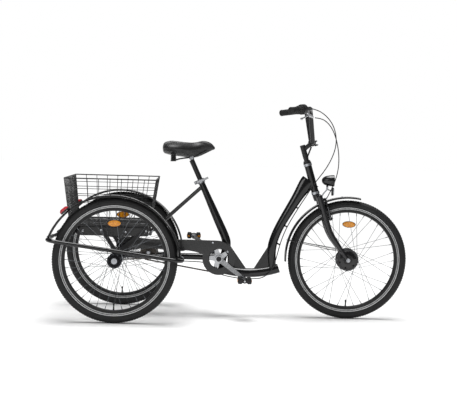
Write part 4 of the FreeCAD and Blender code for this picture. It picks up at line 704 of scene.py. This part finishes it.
def hub_dress():
    """Covers, locknuts and washers on the three hubs."""
    for name, body, side in (("right", "rear_axle", -1), ("left", "left_wheel", 1)):
        centre = middle("rim_" + name)
        bm = bmesh.new()
        for face in (-1, 1):
            start = centre + Y_AXIS * face * 29.6 * MM
            lathe(bm, [(0, 20.2 * MM), (0, 27 * MM), (1.5 * MM, 28 * MM), (3.5 * MM, 27.4 * MM), (4.2 * MM, 24 * MM),
                       (4.2 * MM, 20.2 * MM)], start, Y_AXIS * face, 40, closed=True)
        dress(shown("hub_ring_" + name, bm), ANODISED, body)
    centre = middle("rim_front")
    bm = bmesh.new()
    for face in (-1, 1):
        start = centre + Y_AXIS * face * 29.0 * MM
        lathe(bm, [(0, 6 * MM), (0, 46 * MM), (1.2 * MM, 45 * MM), (1.6 * MM, 36 * MM), (3.2 * MM, 33 * MM), (3.2 * MM, 20 * MM),
                   (0.8 * MM, 18 * MM), (0.8 * MM, 9.4 * MM), (0.2 * MM, 9.4 * MM), (0.2 * MM, 6 * MM)],
              start, Y_AXIS * face, 56, closed=True)
    dress(shown("hub_covers_front", bm), GLOSS_ABS, "front_wheel")
    places = []
    for face in (-1, 1):
        for i in range(6):
            turn = math.pi / 3 * i + 0.3
            spot = centre + Vector((41 * MM * math.cos(turn), face * 30.3 * MM, 41 * MM * math.sin(turn)))
            places.append((spot, Y_AXIS * face))
    bolts("hub_screws_front", BOLT_SMALL, places, "front_wheel", ANODISED)
    places = [(middle("rim_front") + Y_AXIS * side * 61.5 * MM, Y_AXIS * side) for side in (-1, 1)]
    bolts("front_axle_nuts", BOLT_LARGE, places, "fork")
    places = [(REAR_AXLE + Y_AXIS * side * 366.5 * MM, Y_AXIS * side) for side in (-1, 1)]
    bolts("rear_axle_nuts", BOLT_LARGE, places, "rear_axle")


# ---- basket ----
def make_basket():
    """Welded wire: five panels, a thick rim hoop, a waist hoop and two floor runners."""
    low, high = (Vector(corner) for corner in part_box("basket"))
    wire = 1.6 * MM
    rim = [Vector((x, y, high.z - 3 * MM)) for x, y in ((low.x, low.y), (high.x, low.y), (high.x, high.y), (low.x, high.y))]
    for corner in rim:
        corner.x += 3 * MM if corner.x < 0 and corner.x < (low.x + high.x) / 2 else -3 * MM
        corner.y += 3 * MM if corner.y < 0 else -3 * MM
    back, front, half = low.x + 31 * MM, high.x - 36 * MM, high.y - 36 * MM
    foot = [Vector((x, y, low.z + 2 * MM)) for x, y in ((back, -half), (front, -half), (front, half), (back, half))]
    panels = (("right", foot[0], foot[1], rim[1], rim[0], 9, 7), ("front", foot[1], foot[2], rim[2], rim[1], 11, 7),
              ("left", foot[2], foot[3], rim[3], rim[2], 9, 7), ("back", foot[3], foot[0], rim[0], rim[3], 19, 7),
              ("floor", foot[0], foot[1], foot[2], foot[3], 8, 11))
    for name, a, b, c, d, uprights, rails in panels:
        made = line_object("basket_" + name, [a, b], [])
        values = {"A": a, "B": b, "C": c, "D": d, "Uprights": uprights, "Rails": rails, "Wire Radius": wire,
                  "Material": POWDER}
        grown(made, PANEL, values)
        dress(made, POWDER, "frame", ["basket"])
    bm = bmesh.new()
    for ring, radius in ((rim, 3.0 * MM), (foot, 2.6 * MM)):
        sweep(bm, rounded(ring, 14 * MM), radius, 10, cyclic=True)
    for y in (-0.11, 0.11):
        sweep(bm, [Vector((back, y, low.z)), Vector((front, y, low.z))], 2.6 * MM, 10)
    dress(shown("basket_hoops", bm), POWDER, "frame")


def rounded(corners, reach, steps=6):
    """A closed line through corners, each turned into a short arc."""
    line = []
    count = len(corners)
    for i, corner in enumerate(corners):
        start = corner + (corners[i - 1] - corner).normalized() * reach
        end = corner + (corners[(i + 1) % count] - corner).normalized() * reach
        for k in range(steps + 1):
            t = k / steps
            line.append(start * (1 - t) ** 2 + corner * 2 * t * (1 - t) + end * t ** 2)
    return line


# ---- drive ----
def belt_line(c1, r1, c2, r2, y):
    """Points round the taut loop that joins two circles."""
    gap = math.hypot(c2.x - c1.x, c2.z - c1.z)
    lean = math.atan2(c2.z - c1.z, c2.x - c1.x)
    swing = math.acos((r1 - r2) / gap)
    line = []
    for centre, radius, start, end in ((c1, r1, lean + swing, lean + 2 * math.pi - swing), (c2, r2, lean - swing, lean + swing)):
        for k in range(41):
            turn = start + (end - start) * k / 40
            line.append(Vector((centre.x + radius * math.cos(turn), y, centre.z + radius * math.sin(turn))))
    return line


CHAIN_PITCH = 12.7 * MM


def link_shape(name, plate_y, thick, pin_r, pin_half):
    """One chain link: two waisted plates and the pins or rollers at its ends."""
    bm = bmesh.new()
    outline = []
    for end in (1, -1):
        for k in range(7):
            turn = math.radians(-66 + 22 * k) + (0 if end == 1 else math.pi)
            outline.append((end * CHAIN_PITCH / 2 + 4.1 * MM * math.cos(turn), 4.1 * MM * math.sin(turn)))
        outline.append((0, end * 3.2 * MM))
    for side in (-1, 1):
        slab(bm, outline, Y_AXIS * side * plate_y, Vector((1, 0, 0)), Z_AXIS, thick)
        start = Vector((side * CHAIN_PITCH / 2, -pin_half, 0))
        disc(bm, start, Y_AXIS, pin_r, 2 * pin_half, 0.2 * MM, 10)
    return shown(name, bm, 30)


def make_chains():
    outer = link_shape("link_outer", 2.9 * MM, 0.8 * MM, 1.8 * MM, 3.4 * MM)
    inner = link_shape("link_inner", 2.0 * MM, 0.8 * MM, 3.8 * MM, 1.5 * MM)
    runs = (("chain_front", CRANK, 36, HUB, 19), ("chain_rear", HUB, 20, REAR_AXLE, 16))
    for node, c1, teeth1, c2, teeth2 in runs:
        r1, r2 = (CHAIN_PITCH / (2 * math.sin(math.pi / teeth)) for teeth in (teeth1, teeth2))
        line = belt_line(c1, r1, c2, r2, middle(node).y)
        length = sum((a - b).length for a, b in zip(line, line[1:] + line[:1]))
        links = 2 * round(length / CHAIN_PITCH / 2)
        made = line_object(node + "_links", line, [(k, (k + 1) % len(line)) for k in range(len(line))])
        grown(made, CHAIN, {"Links": links, "Outer": outer, "Inner": inner, "Material": OILED})
        dress(made, OILED, "frame", [node])
    for helper in (outer, inner):
        bpy.data.objects.remove(helper)


def dress_drive():
    """Crank caps, spider bolts, case screws and a moulded bead round the case's opening."""
    for side in (-1, 1):
        bm = bmesh.new()
        lathe(bm, [(0, 0), (0, 12.5 * MM), (1.4 * MM, 13 * MM), (3.0 * MM, 11.5 * MM), (3.0 * MM, 8 * MM), (1.2 * MM, 7 * MM),
                   (1.2 * MM, 0)], CRANK + Y_AXIS * side * 82 * MM, Y_AXIS * side, 36)
        dress(shown("crank_cap_" + ("left" if side > 0 else "right"), bm), GRAINED, "crankset")
    lean = -math.radians(37)
    places = []
    for i in range(5):
        turn = lean + 2 * math.pi * i / 5
        spot = CRANK + Vector((62 * MM * math.cos(turn), -51.6 * MM, 62 * MM * math.sin(turn)))
        places.append((spot, -Y_AXIS))
    bolts("spider_bolts", BOLT_SMALL, places, "crankset")
    bm = bmesh.new()
    lathe(bm, [(0, 47.6 * MM), (0, 52 * MM), (1.2 * MM, 51 * MM), (1.8 * MM, 49 * MM), (1.2 * MM, 47.6 * MM)],
          CRANK - Y_AXIS * 65.8 * MM, -Y_AXIS, 64, closed=True)
    dress(shown("case_bead", bm), GLOSS_ABS, "frame")
    spots = ((0, 368), (470, 374), (545, 330), (560, 262))
    places = [(at(x, z, -65.9), -Y_AXIS) for x, z in spots[:3]]
    bolts("case_screws", BOLT_SMALL, places, "frame")


def pedal(name, side):
    """A moulded body with rubber treads, end plates, and an amber reflector on its front and back edges."""
    node = "pedal_" + name
    low, high = (Vector(corner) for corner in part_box(node))
    centre = (low + high) / 2
    bm = bmesh.new()
    lathe(bm, [(-46 * MM, 0), (-46 * MM, 9 * MM), (-44 * MM, 10.5 * MM), (-30 * MM, 8.5 * MM), (30 * MM, 8.5 * MM), (44 * MM, 10.5 * MM),
               (46 * MM, 9 * MM), (46 * MM, 0)], centre, Y_AXIS, 24)
    for y in (-43, 0, 43):
        block(bm, centre + Y_AXIS * y * MM, (64 * MM, 6 * MM, 17 * MM), 1.6 * MM)
    for x in (-1, 1):
        block(bm, centre + Vector((x * 31 * MM, 0, 0)), (6 * MM, 90 * MM, 20 * MM), 1.6 * MM)
    dress(shown(node + "_body", bm), GRAINED, node, [node])
    bm = bmesh.new()
    for x in (-1, 1):
        for z in (-1, 1):
            spot = centre + Vector((x * 23 * MM, 0, z * 8 * MM))
            block(bm, spot, (19 * MM, 84 * MM, 9 * MM), 1.8 * MM)
            for k in range(9):
                rib = spot + Vector((0, (k - 4) * 9.2 * MM, z * 4.8 * MM))
                block(bm, rib, (17 * MM, 3.4 * MM, 2.2 * MM), 0.7 * MM)
    dress(shown(node + "_treads", bm), RUBBER, node)
    bm = bmesh.new()
    for x in (-1, 1):
        block(bm, centre + Vector((x * 34.2 * MM, 0, 0)), (3.4 * MM, 66 * MM, 11 * MM), 0.9 * MM)
        block(bm, centre + Vector((x * 26 * MM, -side * 45.2 * MM, 0)), (11 * MM, 2.6 * MM, 9 * MM), 0.8 * MM)
    dress(shown(node + "_reflectors", bm), AMBER, node)


# ---- saddle ----
def saddle_swell(made, cap):
    """Blows the cushion up a little as cloth, each point moving no further than the cap."""
    start = [vert.co.copy() for vert in made.data.vertices]
    cloth = made.modifiers.new("foam", "CLOTH")
    cloth.settings.use_pressure = True
    cloth.settings.uniform_pressure_force = 4.0
    cloth.settings.effector_weights.gravity = 0.0
    cloth.settings.quality = 6
    cloth.collision_settings.use_collision = False
    scene = bpy.context.scene
    for moment in range(1, 21):
        scene.frame_set(moment)
    graph = bpy.context.evaluated_depsgraph_get()
    mesh = bpy.data.meshes.new_from_object(made.evaluated_get(graph), depsgraph=graph)
    made.modifiers.remove(cloth)
    scene.frame_set(1)
    for vert, rest in zip(mesh.vertices, start):
        move = vert.co - rest
        if move.length > cap:
            vert.co = rest + move.normalized() * cap
    made.data = mesh


def evaluated(made):
    """Replaces an object's mesh by what its modifiers make of it."""
    graph = bpy.context.evaluated_depsgraph_get()
    mesh = bpy.data.meshes.new_from_object(made.evaluated_get(graph), depsgraph=graph)
    made.modifiers.clear()
    made.data = mesh
    return made


def make_saddle():
    """The cushion: from the CAD pad, shrunk, swollen as cloth, then pressed in along its seam and its middle."""
    bm = bmesh.new()
    bm.from_mesh(frame["nodes"]["saddle_pad"].data)
    bmesh.ops.remove_doubles(bm, verts=bm.verts, dist=0.02 * MM)
    bmesh.ops.recalc_face_normals(bm, faces=bm.faces)
    bm.normal_update()
    for vert in bm.verts:
        vert.co -= vert.normal * 1.5 * MM
    cushion = shown("saddle_cushion", bm)
    remesh = cushion.modifiers.new("even", "REMESH")
    remesh.mode = "VOXEL"
    remesh.voxel_size = 5 * MM
    evaluated(cushion)
    saddle_swell(cushion, 5 * MM)
    low, high = (Vector(corner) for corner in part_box("saddle_pad"))
    fine = cushion.modifiers.new("fine", "SUBSURF")
    fine.levels = 1
    fine.render_levels = 1
    evaluated(cushion)
    for vert in cushion.data.vertices:
        seam = seam_height(vert.co.x, low, high)
        depth = math.exp(-((vert.co.z - seam) / (2.2 * MM)) ** 2) * 1.6 * MM
        inward = Vector((0, -vert.co.y, 0))
        if inward.length > 1e-5:
            vert.co += inward.normalized() * depth
        along = (vert.co.x - low.x) / (high.x - low.x)
        groove = math.exp(-(vert.co.y / (9 * MM)) ** 2) * max(0.0, 1 - abs(along - 0.45) / 0.4)
        if vert.co.z > seam + 12 * MM:
            vert.co.z -= groove * 3.2 * MM
    cushion.data.shade_smooth()
    dress(cushion, SADDLE_SKIN, "saddle", ["saddle_pad"])
    return cushion


def seam_height(x, low, high):
    """The height of the seam above the ground: low at the back, rising to the nose."""
    share = min(1.0, max(0.0, (x - low.x) / (high.x - low.x)))
    return low.z + (22 + 18 * share ** 2) * MM


def helix(bm, foot, radius, wire, turns, height):
    count = int(turns * 20)
    line = []
    for k in range(count + 1):
        turn = 2 * math.pi * k / 20
        line.append(foot + Vector((radius * math.cos(turn), radius * math.sin(turn), height * k / count)))
    sweep(bm, line, wire, 8)


def smooth_line(points, count=48):
    """A NURBS line near its points, straight out of the first and into the last."""
    curve = bpy.data.curves.new("line", "CURVE")
    curve.dimensions = "3D"
    curve.resolution_u = max(4, count // len(points))
    spline = curve.splines.new("NURBS")
    spline.points.add(len(points) - 1)
    for spot, place in zip(spline.points, points):
        spot.co = (*place, 1.0)
    spline.order_u = 3
    spline.use_endpoint_u = True
    holder = bpy.data.objects.new("line", curve)
    bpy.context.scene.collection.objects.link(holder)
    mesh = bpy.data.meshes.new_from_object(holder.evaluated_get(bpy.context.evaluated_depsgraph_get()))
    line = [vert.co.copy() for vert in mesh.vertices]
    bpy.data.objects.remove(holder)
    bpy.data.curves.remove(curve)
    bpy.data.meshes.remove(mesh)
    return line


def make_saddle_frame():
    """Rails, coil springs between two cups, a rear bridge and the clamp on the post."""
    bm = bmesh.new()
    for side in (-1, 1):
        rail = [at(262, 780, side * 56), at(280, 783, side * 38), at(292, 788, side * 24), at(330, 794, side * 22),
                at(372, 800, side * 22), at(410, 824, side * 17), at(440, 842, side * 10)]
        sweep(bm, smooth_line(rail), 3.4 * MM, 10)
        helix(bm, at(262, 781, side * 58), 11.5 * MM, 2.0 * MM, 4.6, 29 * MM)
        disc(bm, at(262, 776, side * 58), Z_AXIS, 14 * MM, 4 * MM)
        disc(bm, at(262, 809, side * 58), Z_AXIS, 14 * MM, 4 * MM)
    sweep(bm, smooth_line([at(262, 778, -56), at(252, 777, -30), at(250, 777, 30), at(262, 778, 56)]), 3.0 * MM, 10)
    dress(shown("saddle_rails", bm), SATIN, "saddle", ["saddle_frame"])
    pivot = joint_at("saddle_tilt")
    bm = bmesh.new()
    for start, end, radius in ((-31, -14, 13), (-14, 14, 12.6), (14, 31, 13)):
        disc(bm, pivot + Y_AXIS * start * MM, Y_AXIS, radius * MM, (end - start) * MM, 1.4 * MM, 36)
    dress(shown("saddle_clamp", bm), SATIN, "saddle")
    bolts("saddle_clamp_nuts", BOLT_LARGE, [(pivot + Y_AXIS * side * 30.8 * MM, Y_AXIS * side) for side in (-1, 1)], "saddle")


# ---- steering, bar and brake ----
def grip(name, side, start, end, body, nodes=("grips",)):
    """A rubber sleeve with close ribs, a flange at its inner end and a domed outer end."""
    tip, inboard = (BAR_TIP, INBOARD) if side < 0 else (flipped(BAR_TIP), flipped(INBOARD))
    profile = [(start - 2.5 * MM, 0), (start - 2.5 * MM, 9 * MM), (start - 1 * MM, 14 * MM), (start + 1.5 * MM, 16.8 * MM),
               (start + 5 * MM, 16.8 * MM)]
    ribs = int((end - start - 14 * MM) / (4 * MM))
    for k in range(ribs):
        foot = start + 6 * MM + k * 4 * MM
        profile += [(foot, 15.2 * MM), (foot + 1.0 * MM, 14.9 * MM), (foot + 1.6 * MM, 16.1 * MM), (foot + 3.2 * MM, 16.1 * MM)]
    profile += [(end - 6 * MM, 15.2 * MM), (end - 5 * MM, 17.4 * MM), (end - 1 * MM, 17.4 * MM), (end, 16.4 * MM), (end, 11.2 * MM),
                (start, 11.2 * MM), (start, 0)]
    bm = bmesh.new()
    lathe(bm, profile, tip, inboard, 40)
    dress(shown(name, bm, 30), RUBBER, body, nodes)


def make_twist():
    """The twist grip: a sleeve with long finger ribs, copied round the bar."""
    start, end = 58.6 * MM, 87.3 * MM
    bm = bmesh.new()
    lathe(bm, [(start, 11.3 * MM), (start, 17.5 * MM), (start + 2 * MM, 18.6 * MM), (end - 5 * MM, 20 * MM), (end - 3 * MM, 21.8 * MM),
               (end, 21.8 * MM), (end, 11.3 * MM)], BAR_TIP, INBOARD, 48, closed=True)
    side = INBOARD.orthogonal().normalized()
    front = INBOARD.cross(side)
    for k in range(18):
        turn = 2 * math.pi * k / 18
        out = side * math.cos(turn) + front * math.sin(turn)
        line = [BAR_TIP + INBOARD * (start + a * MM) + out * r * MM for a, r in ((2, 17.6), (4, 18.8), (20, 19.9), (23, 19.2))]
        sweep(bm, line, [0.8 * MM, 1.3 * MM, 1.6 * MM, 1.0 * MM], 6)
    dress(shown("twist_grip", bm), RUBBER, "shifter_twist", ["shifter_twist"])


def cable_piece(name, line, body=None, blend=None, node="gear_cable"):
    """A length of cable housing that either rides on one body or, where blend is given, is fixed in place on no body.
    """
    bm = bmesh.new()
    sweep(bm, line, 2.4 * MM, 10)
    made = shown(name, bm)
    dress(made, GRAINED, body)
    if blend:
        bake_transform(made)
    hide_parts(node)


BRAKE_ROUTE = ((952, -172, 1009), (982, -161, 1007), (1012, -151, 992), (1039, -140, 963), (1059, -128, 924),
               (1073, -115, 880), (1082, -102, 836), (1086, -89, 790), (1083, -76, 744), (1074, -62, 702),
               (1061, -50, 663), (1045, -42, 629), (1035, -38, 606))
GEAR_ROUTE = ((935.4, -213.7, 1051), (962, -203, 1045), (990, -196, 1030), (1016, -189, 1008), (1040, -179, 977),
              (1056, -166, 938), (1063, -150, 897), (1060, -131, 855), (1048, -110, 813), (1030, -88, 772),
              (1007, -66, 733), (981, -45, 696), (956, -25, 655), (937, -8, 618), (912, 0, 578), (883, 0, 529),
              (856, 0, 482), (833, 0, 434), (816, -3, 388), (804, -12, 346), (794, -24, 307), (783, -28, 268),
              (764, -26, 231))
GEAR_BACK = ((463, -4, 252), (424, 0, 270), (380, -4, 271), (336, -16, 274), (295, -34, 275), (256, -54, 276),
             (221, -73, 280), (192, -87, 289), (171, -93, 304))


def cut_line(line, places):
    """Splits a line at its points nearest to some places; neighbours share their end point."""
    marks = [0] + [min(range(len(line)), key=lambda k: (line[k] - spot).length) for spot in places] + [len(line) - 1]
    return [line[a:b + 1] for a, b in zip(marks, marks[1:])]


def make_cables():
    brake = smooth_line([at(x, z, y) for x, y, z in BRAKE_ROUTE], 130)
    upper, lower = cut_line(brake, [at(1086, 790, -89)])
    cable_piece("brake_cable_upper", upper, blend=("handlebar", "stem"), node="brake_cable")
    cable_piece("brake_cable_lower", lower, blend=("stem", "fork"), node="brake_cable")
    under = []
    for i, degrees in enumerate((279.0, 273.7, 268.4, 263.1, 257.8, 252.6)):
        turn = math.radians(degrees)
        under.append(at(648 + 507.4 * math.cos(turn), 699 + 507.4 * math.sin(turn), -20 + 3 * i))
    route = [at(x, z, y) for x, y, z in GEAR_ROUTE] + under + [at(x, z, y) for x, y, z in GEAR_BACK]
    gear = smooth_line(route, 300)
    first, second, third, rest = cut_line(gear, [at(1062, 870, -139), at(981, 696, -45), at(912, 578, 0)])
    cable_piece("gear_cable_bar", first, blend=("handlebar", "stem"))
    cable_piece("gear_cable_stem", second, blend=("stem", "fork"))
    cable_piece("gear_cable_head", third, blend=("fork", "frame"))
    cable_piece("gear_cable_frame", rest, body="frame")


def make_brake():
    """The noodle, boot and link wire across the tyre, the arms' springs, and their pivot bolts."""
    top = {side: at_head(-52, 38, side * 37) for side in (-1, 1)}
    bm = bmesh.new()
    noodle = [at(1036, 612, -39), at_head(-44, 38, -38), at_head(-49, 38, -34), at_head(-50, 38, -26)]
    sweep(bm, smooth_line(noodle, 24), 2.2 * MM, 10)
    disc(bm, at(1037, 615, -39.5), (at(1035, 606, -38) - at(1045, 629, -42)), 3.4 * MM, 7 * MM)
    dress(shown("brake_noodle", bm), ZINC, "brake_arm_right")
    bm = bmesh.new()
    profile = [(0, 0), (0, 3 * MM)]
    for k in range(6):
        profile += [((1.5 + 3.4 * k) * MM, 5.0 * MM), ((3.2 + 3.4 * k) * MM, 3.6 * MM)]
    profile += [(22 * MM, 2.2 * MM), (22 * MM, 0)]
    lathe(bm, profile, at_head(-50, 38, -27), Y_AXIS, 20)
    dress(shown("brake_boot", bm, 25), RUBBER, "brake_arm_right")
    bm = bmesh.new()
    sweep(bm, [at_head(-50, 38, -8), at_head(-50, 38, 36)], 0.8 * MM, 8)
    block(bm, top[1] + HEAD_UP * 2 * MM, (10 * MM, 9 * MM, 9 * MM), 1.5 * MM, HEAD_AHEAD, HEAD_UP)
    dress(shown("brake_link_wire", bm), ZINC, "brake_arm_left")
    for side, name in ((-1, "right"), (1, "left")):
        foot = joint_at(name + "_brake_arm")
        bm = bmesh.new()
        disc(bm, foot + HEAD_AHEAD * 5.6 * MM, HEAD_AHEAD, 7.5 * MM, 2.2 * MM, 0.6 * MM, 24)
        spring = [foot - HEAD_AHEAD * 3 * MM + Y_AXIS * side * 9 * MM, foot + HEAD_UP * 30 * MM + Y_AXIS * side * 10.5 * MM,
                  foot + HEAD_UP * 62 * MM + Y_AXIS * side * 6 * MM]
        sweep(bm, smooth_line(spring, 20), 0.9 * MM, 8)
        dress(shown("brake_spring_" + name, bm), ZINC, "brake_arm_" + name)
        bolts("brake_pivot_bolt_" + name, BOLT_SMALL, [(foot + HEAD_AHEAD * 7.6 * MM, HEAD_AHEAD)], "brake_arm_" + name)


def make_lamp():
    """A bullet lamp: shell, chromed bowl and bulb behind a ribbed lens, with a hooded front ring."""
    low, high = (Vector(corner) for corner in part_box("headlamp_lens"))
    centre = Vector((0, 0, (low.z + high.z) / 2))
    face = low.x
    ahead = Vector((1, 0, 0))
    bm = bmesh.new()
    lathe(bm, [(-54, 0), (-53, 8), (-49, 14), (-42, 20), (-30, 25), (-12, 28), (0, 29), (6, 29.3), (9.5, 29), (9.8, 27.4),
               (3, 26.6), (0, 25)], centre + ahead * face, ahead, 56)
    for vert in bm.verts:
        vert.co = Vector((face, 0, centre.z)) + (vert.co - Vector((face, 0, centre.z))) * MM
    for x in (-1, 1):
        disc(bm, joint_at("headlamp_tilt") - Y_AXIS * 4 * MM, Y_AXIS, 5 * MM, 8 * MM)
    block(bm, joint_at("headlamp_tilt") + Z_AXIS * 6 * MM, (10 * MM, 7.6 * MM, 14 * MM), 1.2 * MM)
    dress(shown("lamp_shell", bm), GLOSS_ABS, "headlamp", ["headlamp"])
    start = Vector((face, 0, centre.z))
    bm = bmesh.new()
    bowl = [(-14, 4), (-12, 10), (-7, 17), (0, 22), (6, 25.5), (6.6, 25.5), (-1, 23.4), (-9, 17.6), (-15, 10.4), (-17, 4)]
    lathe(bm, [(a * MM, r * MM) for a, r in bowl], start, ahead, 48, closed=True)
    dress(shown("lamp_bowl", bm, 60), MIRROR, "headlamp")
    bm = bmesh.new()
    bulb = [(-15, 0), (-15, 4.4), (-9, 4.4), (-8, 3.4), (-4, 4.2), (0, 3.6), (2, 2), (2.8, 0)]
    lathe(bm, [(a * MM, r * MM) for a, r in bulb], start, ahead, 24)
    dress(shown("lamp_bulb", bm), BEADED, "headlamp")
    bm = bmesh.new()
    glass = [(5, 0), (5, 26), (6.4, 26.8), (8.4, 26.4), (9.0, 20), (9.6, 12), (9.8, 0)]
    lathe(bm, [(a * MM, r * MM) for a, r in glass], start, ahead, 56)
    for k in range(-4, 5):
        reach = math.sqrt(24.0 ** 2 - (k * 5.2) ** 2)
        ends = [start + Vector((9.2 * MM, k * 5.2 * MM, z * reach * MM)) for z in (-0.96, 0.96)]
        sweep(bm, ends, 1.0 * MM, 6)
    dress(shown("lamp_glass", bm), LENS, "headlamp", ["headlamp_lens"])
    low, high = (Vector(corner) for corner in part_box("front_reflector"))
    spot = (low + high) / 2
    bm = bmesh.new()
    slab(bm, round_box_outline(21.5 * MM, 20.5 * MM, 7 * MM), spot - ahead * 2.5 * MM, Y_AXIS, Z_AXIS, 6.4 * MM, 1.2 * MM)
    dress(shown("front_reflector_back", bm), GRAINED, "fork")
    bm = bmesh.new()
    slab(bm, round_box_outline(19.5 * MM, 18.5 * MM, 6 * MM), spot + ahead * 2.6 * MM, Y_AXIS, Z_AXIS, 5.0 * MM, 1.4 * MM)
    dress(shown("front_reflector_face", bm), WHITE, "fork", ["front_reflector"])


def make_tail_lights():
    """A ribbed red lens on a dark base at the back of each rear mudguard."""
    turn = math.radians(132)
    out = Vector((math.cos(turn), 0, math.sin(turn)))
    along = Vector((math.sin(turn), 0, -math.cos(turn)))
    for side, name in ((-1, "right"), (1, "left")):
        spot = at(-13, 281, side * 325) + out * 340 * MM
        bm = bmesh.new()
        slab(bm, [(-23 * MM, -5 * MM), (21 * MM, -5 * MM), (23 * MM, 2.5 * MM), (-25 * MM, 2.5 * MM)], spot, along, out, 40 * MM, 1.5 * MM)
        dress(shown("tail_base_" + name, bm), GRAINED, "frame")
        bm = bmesh.new()
        outline = [(-24 * MM, 2 * MM), (22.5 * MM, 2 * MM), (23 * MM, 6 * MM), (13 * MM, 14.2 * MM), (-16 * MM, 14.6 * MM), (-24.5 * MM, 7 * MM)]
        slab(bm, outline, spot, along, out, 41 * MM, 2.2 * MM)
        for k in range(-4, 5):
            ends = [spot + along * a * MM + out * 14.2 * MM + Y_AXIS * k * 4.2 * MM for a in (-14, 11)]
            sweep(bm, ends, 0.9 * MM, 6)
        dress(shown("tail_lens_" + name, bm), RED, "frame", ["tail_lights"])


def make_fittings():
    """Bolt heads along the carrier, the guards and the stem's joint, and the basket's clamps."""
    places = []
    for side in (-1, 1):
        for x, z in ((140, 432), (-80, 432)):
            places.append((at(x, z, side * 170.4), Y_AXIS * side))
        for x in (-170, 40, 130):
            places.append((at(x, 425, side * 164.2), Y_AXIS * side))
        for x, z in ((322, 321), (-320, 406)):
            places.append((at(x + (2.5 if x > 0 else -2.5), z + 1, side * 325), Z_AXIS))
    bolts("carrier_bolts", BOLT_SMALL, places, "frame")
    bm = bmesh.new()
    for x in (-190, 120):
        for y in (-110, 110):
            block(bm, at(x, 463, y), (22 * MM, 16 * MM, 5 * MM), 1.2 * MM)
    dress(shown("basket_clamps", bm), ZINC, "frame")
    centre = at(1152, 300.5)
    places = []
    for degrees in (96, 120, 163):
        turn = math.radians(degrees)
        out = Vector((math.cos(turn), 0, math.sin(turn)))
        places.append((centre + out * 318.8 * MM, out))
    bolts("front_guard_rivets", BOLT_SMALL, places, "fork")
    clamp = at_head(242, 50)
    places = [(clamp + HEAD_UP * up * MM + HEAD_AHEAD * 24.5 * MM, HEAD_AHEAD) for up in (-17, 2)]
    bolts("stem_bolts", BOLT_SMALL, places, "stem")


def dress_cad():
    """Finishes for the CAD nodes whose shape stays."""
    wear(ENAMEL, ["main_frame", "rear_stays", "seat_strut", "carrier_frame", "guard_loop_left", "guard_loop_right",
                  "rear_mudguards", "front_mudguard"])
    wear(SATIN, ["axle_hangers", "headset_nuts", "brake_arm_left", "brake_arm_right", "stem", "handlebar", "seatpost"])
    wear(FORK, ["fork"])
    wear(ZINC, ["bearing_cups", "axle_bearings", "gear_hub_axle", "rear_axle", "front_axle", "lamp_bracket", "seat_clamp"])
    wear(POLISHED, ["cranks", "chainring", "lever_bracket", "brake_lever", "seat_lever", "gear_hub"])
    wear(ANODISED, ["hub_right", "hub_left"])
    wear(GLOSS_ABS, ["hub_front", "chain_case"])
    wear(OILED, ["hub_driver", "axle_sprocket"])
    wear(GRAINED, ["shifter_housing"])


# ---- stage ----
def light(name, size, power, spot, target):
    data = bpy.data.lights.new(name, "AREA")
    data.shape = "RECTANGLE"
    data.size, data.size_y = size
    data.energy = power
    lamp = bpy.data.objects.new(name, data)
    lamp.location = spot
    lamp.rotation_euler = (Vector(target) - Vector(spot)).to_track_quat("-Z", "Y").to_euler()
    bpy.context.scene.collection.objects.link(lamp)


def make_world():
    """A white backdrop that sends only a little light of its own onto the tricycle, so black stays black."""
    world = bpy.data.worlds.new("studio")
    world.use_nodes = True
    tree = world.node_tree
    seen = add(tree, "ShaderNodeLightPath").outputs["Is Camera Ray"]
    level = add(tree, "ShaderNodeMapRange", {0: seen, 3: 0.17, 4: 1.0})
    background = tree.nodes["Background"]
    background.inputs["Color"].default_value = (1, 1, 1, 1)
    tree.links.new(level.outputs[0], background.inputs["Strength"])
    bpy.context.scene.world = world


def make_stage():
    """A pale floor under an overhead diffuser and two softboxes."""
    mesh = bpy.data.meshes.new("floor")
    reach = 30.0
    mesh.from_pydata([(-reach, -reach, 0), (reach, -reach, 0), (reach, reach, 0), (-reach, reach, 0)], [], [(0, 1, 2, 3)])
    floor = bpy.data.objects.new("floor", mesh)
    bpy.context.scene.collection.objects.link(floor)
    mesh.materials.append(surface("painted_studio_floor", "f4f4f4", "fafafa", (0.85, 0.95), 3.0, 0.01, 900.0))
    make_world()
    sun = bpy.data.lights.new("overhead_diffuser", "SUN")
    sun.energy = 3.1
    sun.angle = math.radians(34)
    bpy.context.scene.collection.objects.link(bpy.data.objects.new("overhead_diffuser", sun))
    light("softbox_camera", (2.4, 1.2), 34, (-2.2, -3.6, 2.4), (0, 0, 0.5))
    light("softbox_back", (4.0, 0.8), 18, (0.6, 3.2, 2.2), (0, 0, 0.5))
    bpy.context.scene.view_settings.view_transform = "Standard"


make_wheels()
hub_dress()
make_basket()
make_chains()
dress_drive()
pedal("right", -1)
pedal("left", 1)
make_saddle()
make_saddle_frame()
grip("grip_right", -1, 0.0, 58 * MM, "handlebar")
grip("grip_left", 1, 0.0, 128 * MM, "handlebar")
make_twist()
make_cables()
make_brake()
make_lamp()
make_tail_lights()
make_fittings()
dress_cad()
for helper in (BOLT_SMALL, BOLT_LARGE):
    bpy.data.objects.remove(helper)
make_stage()
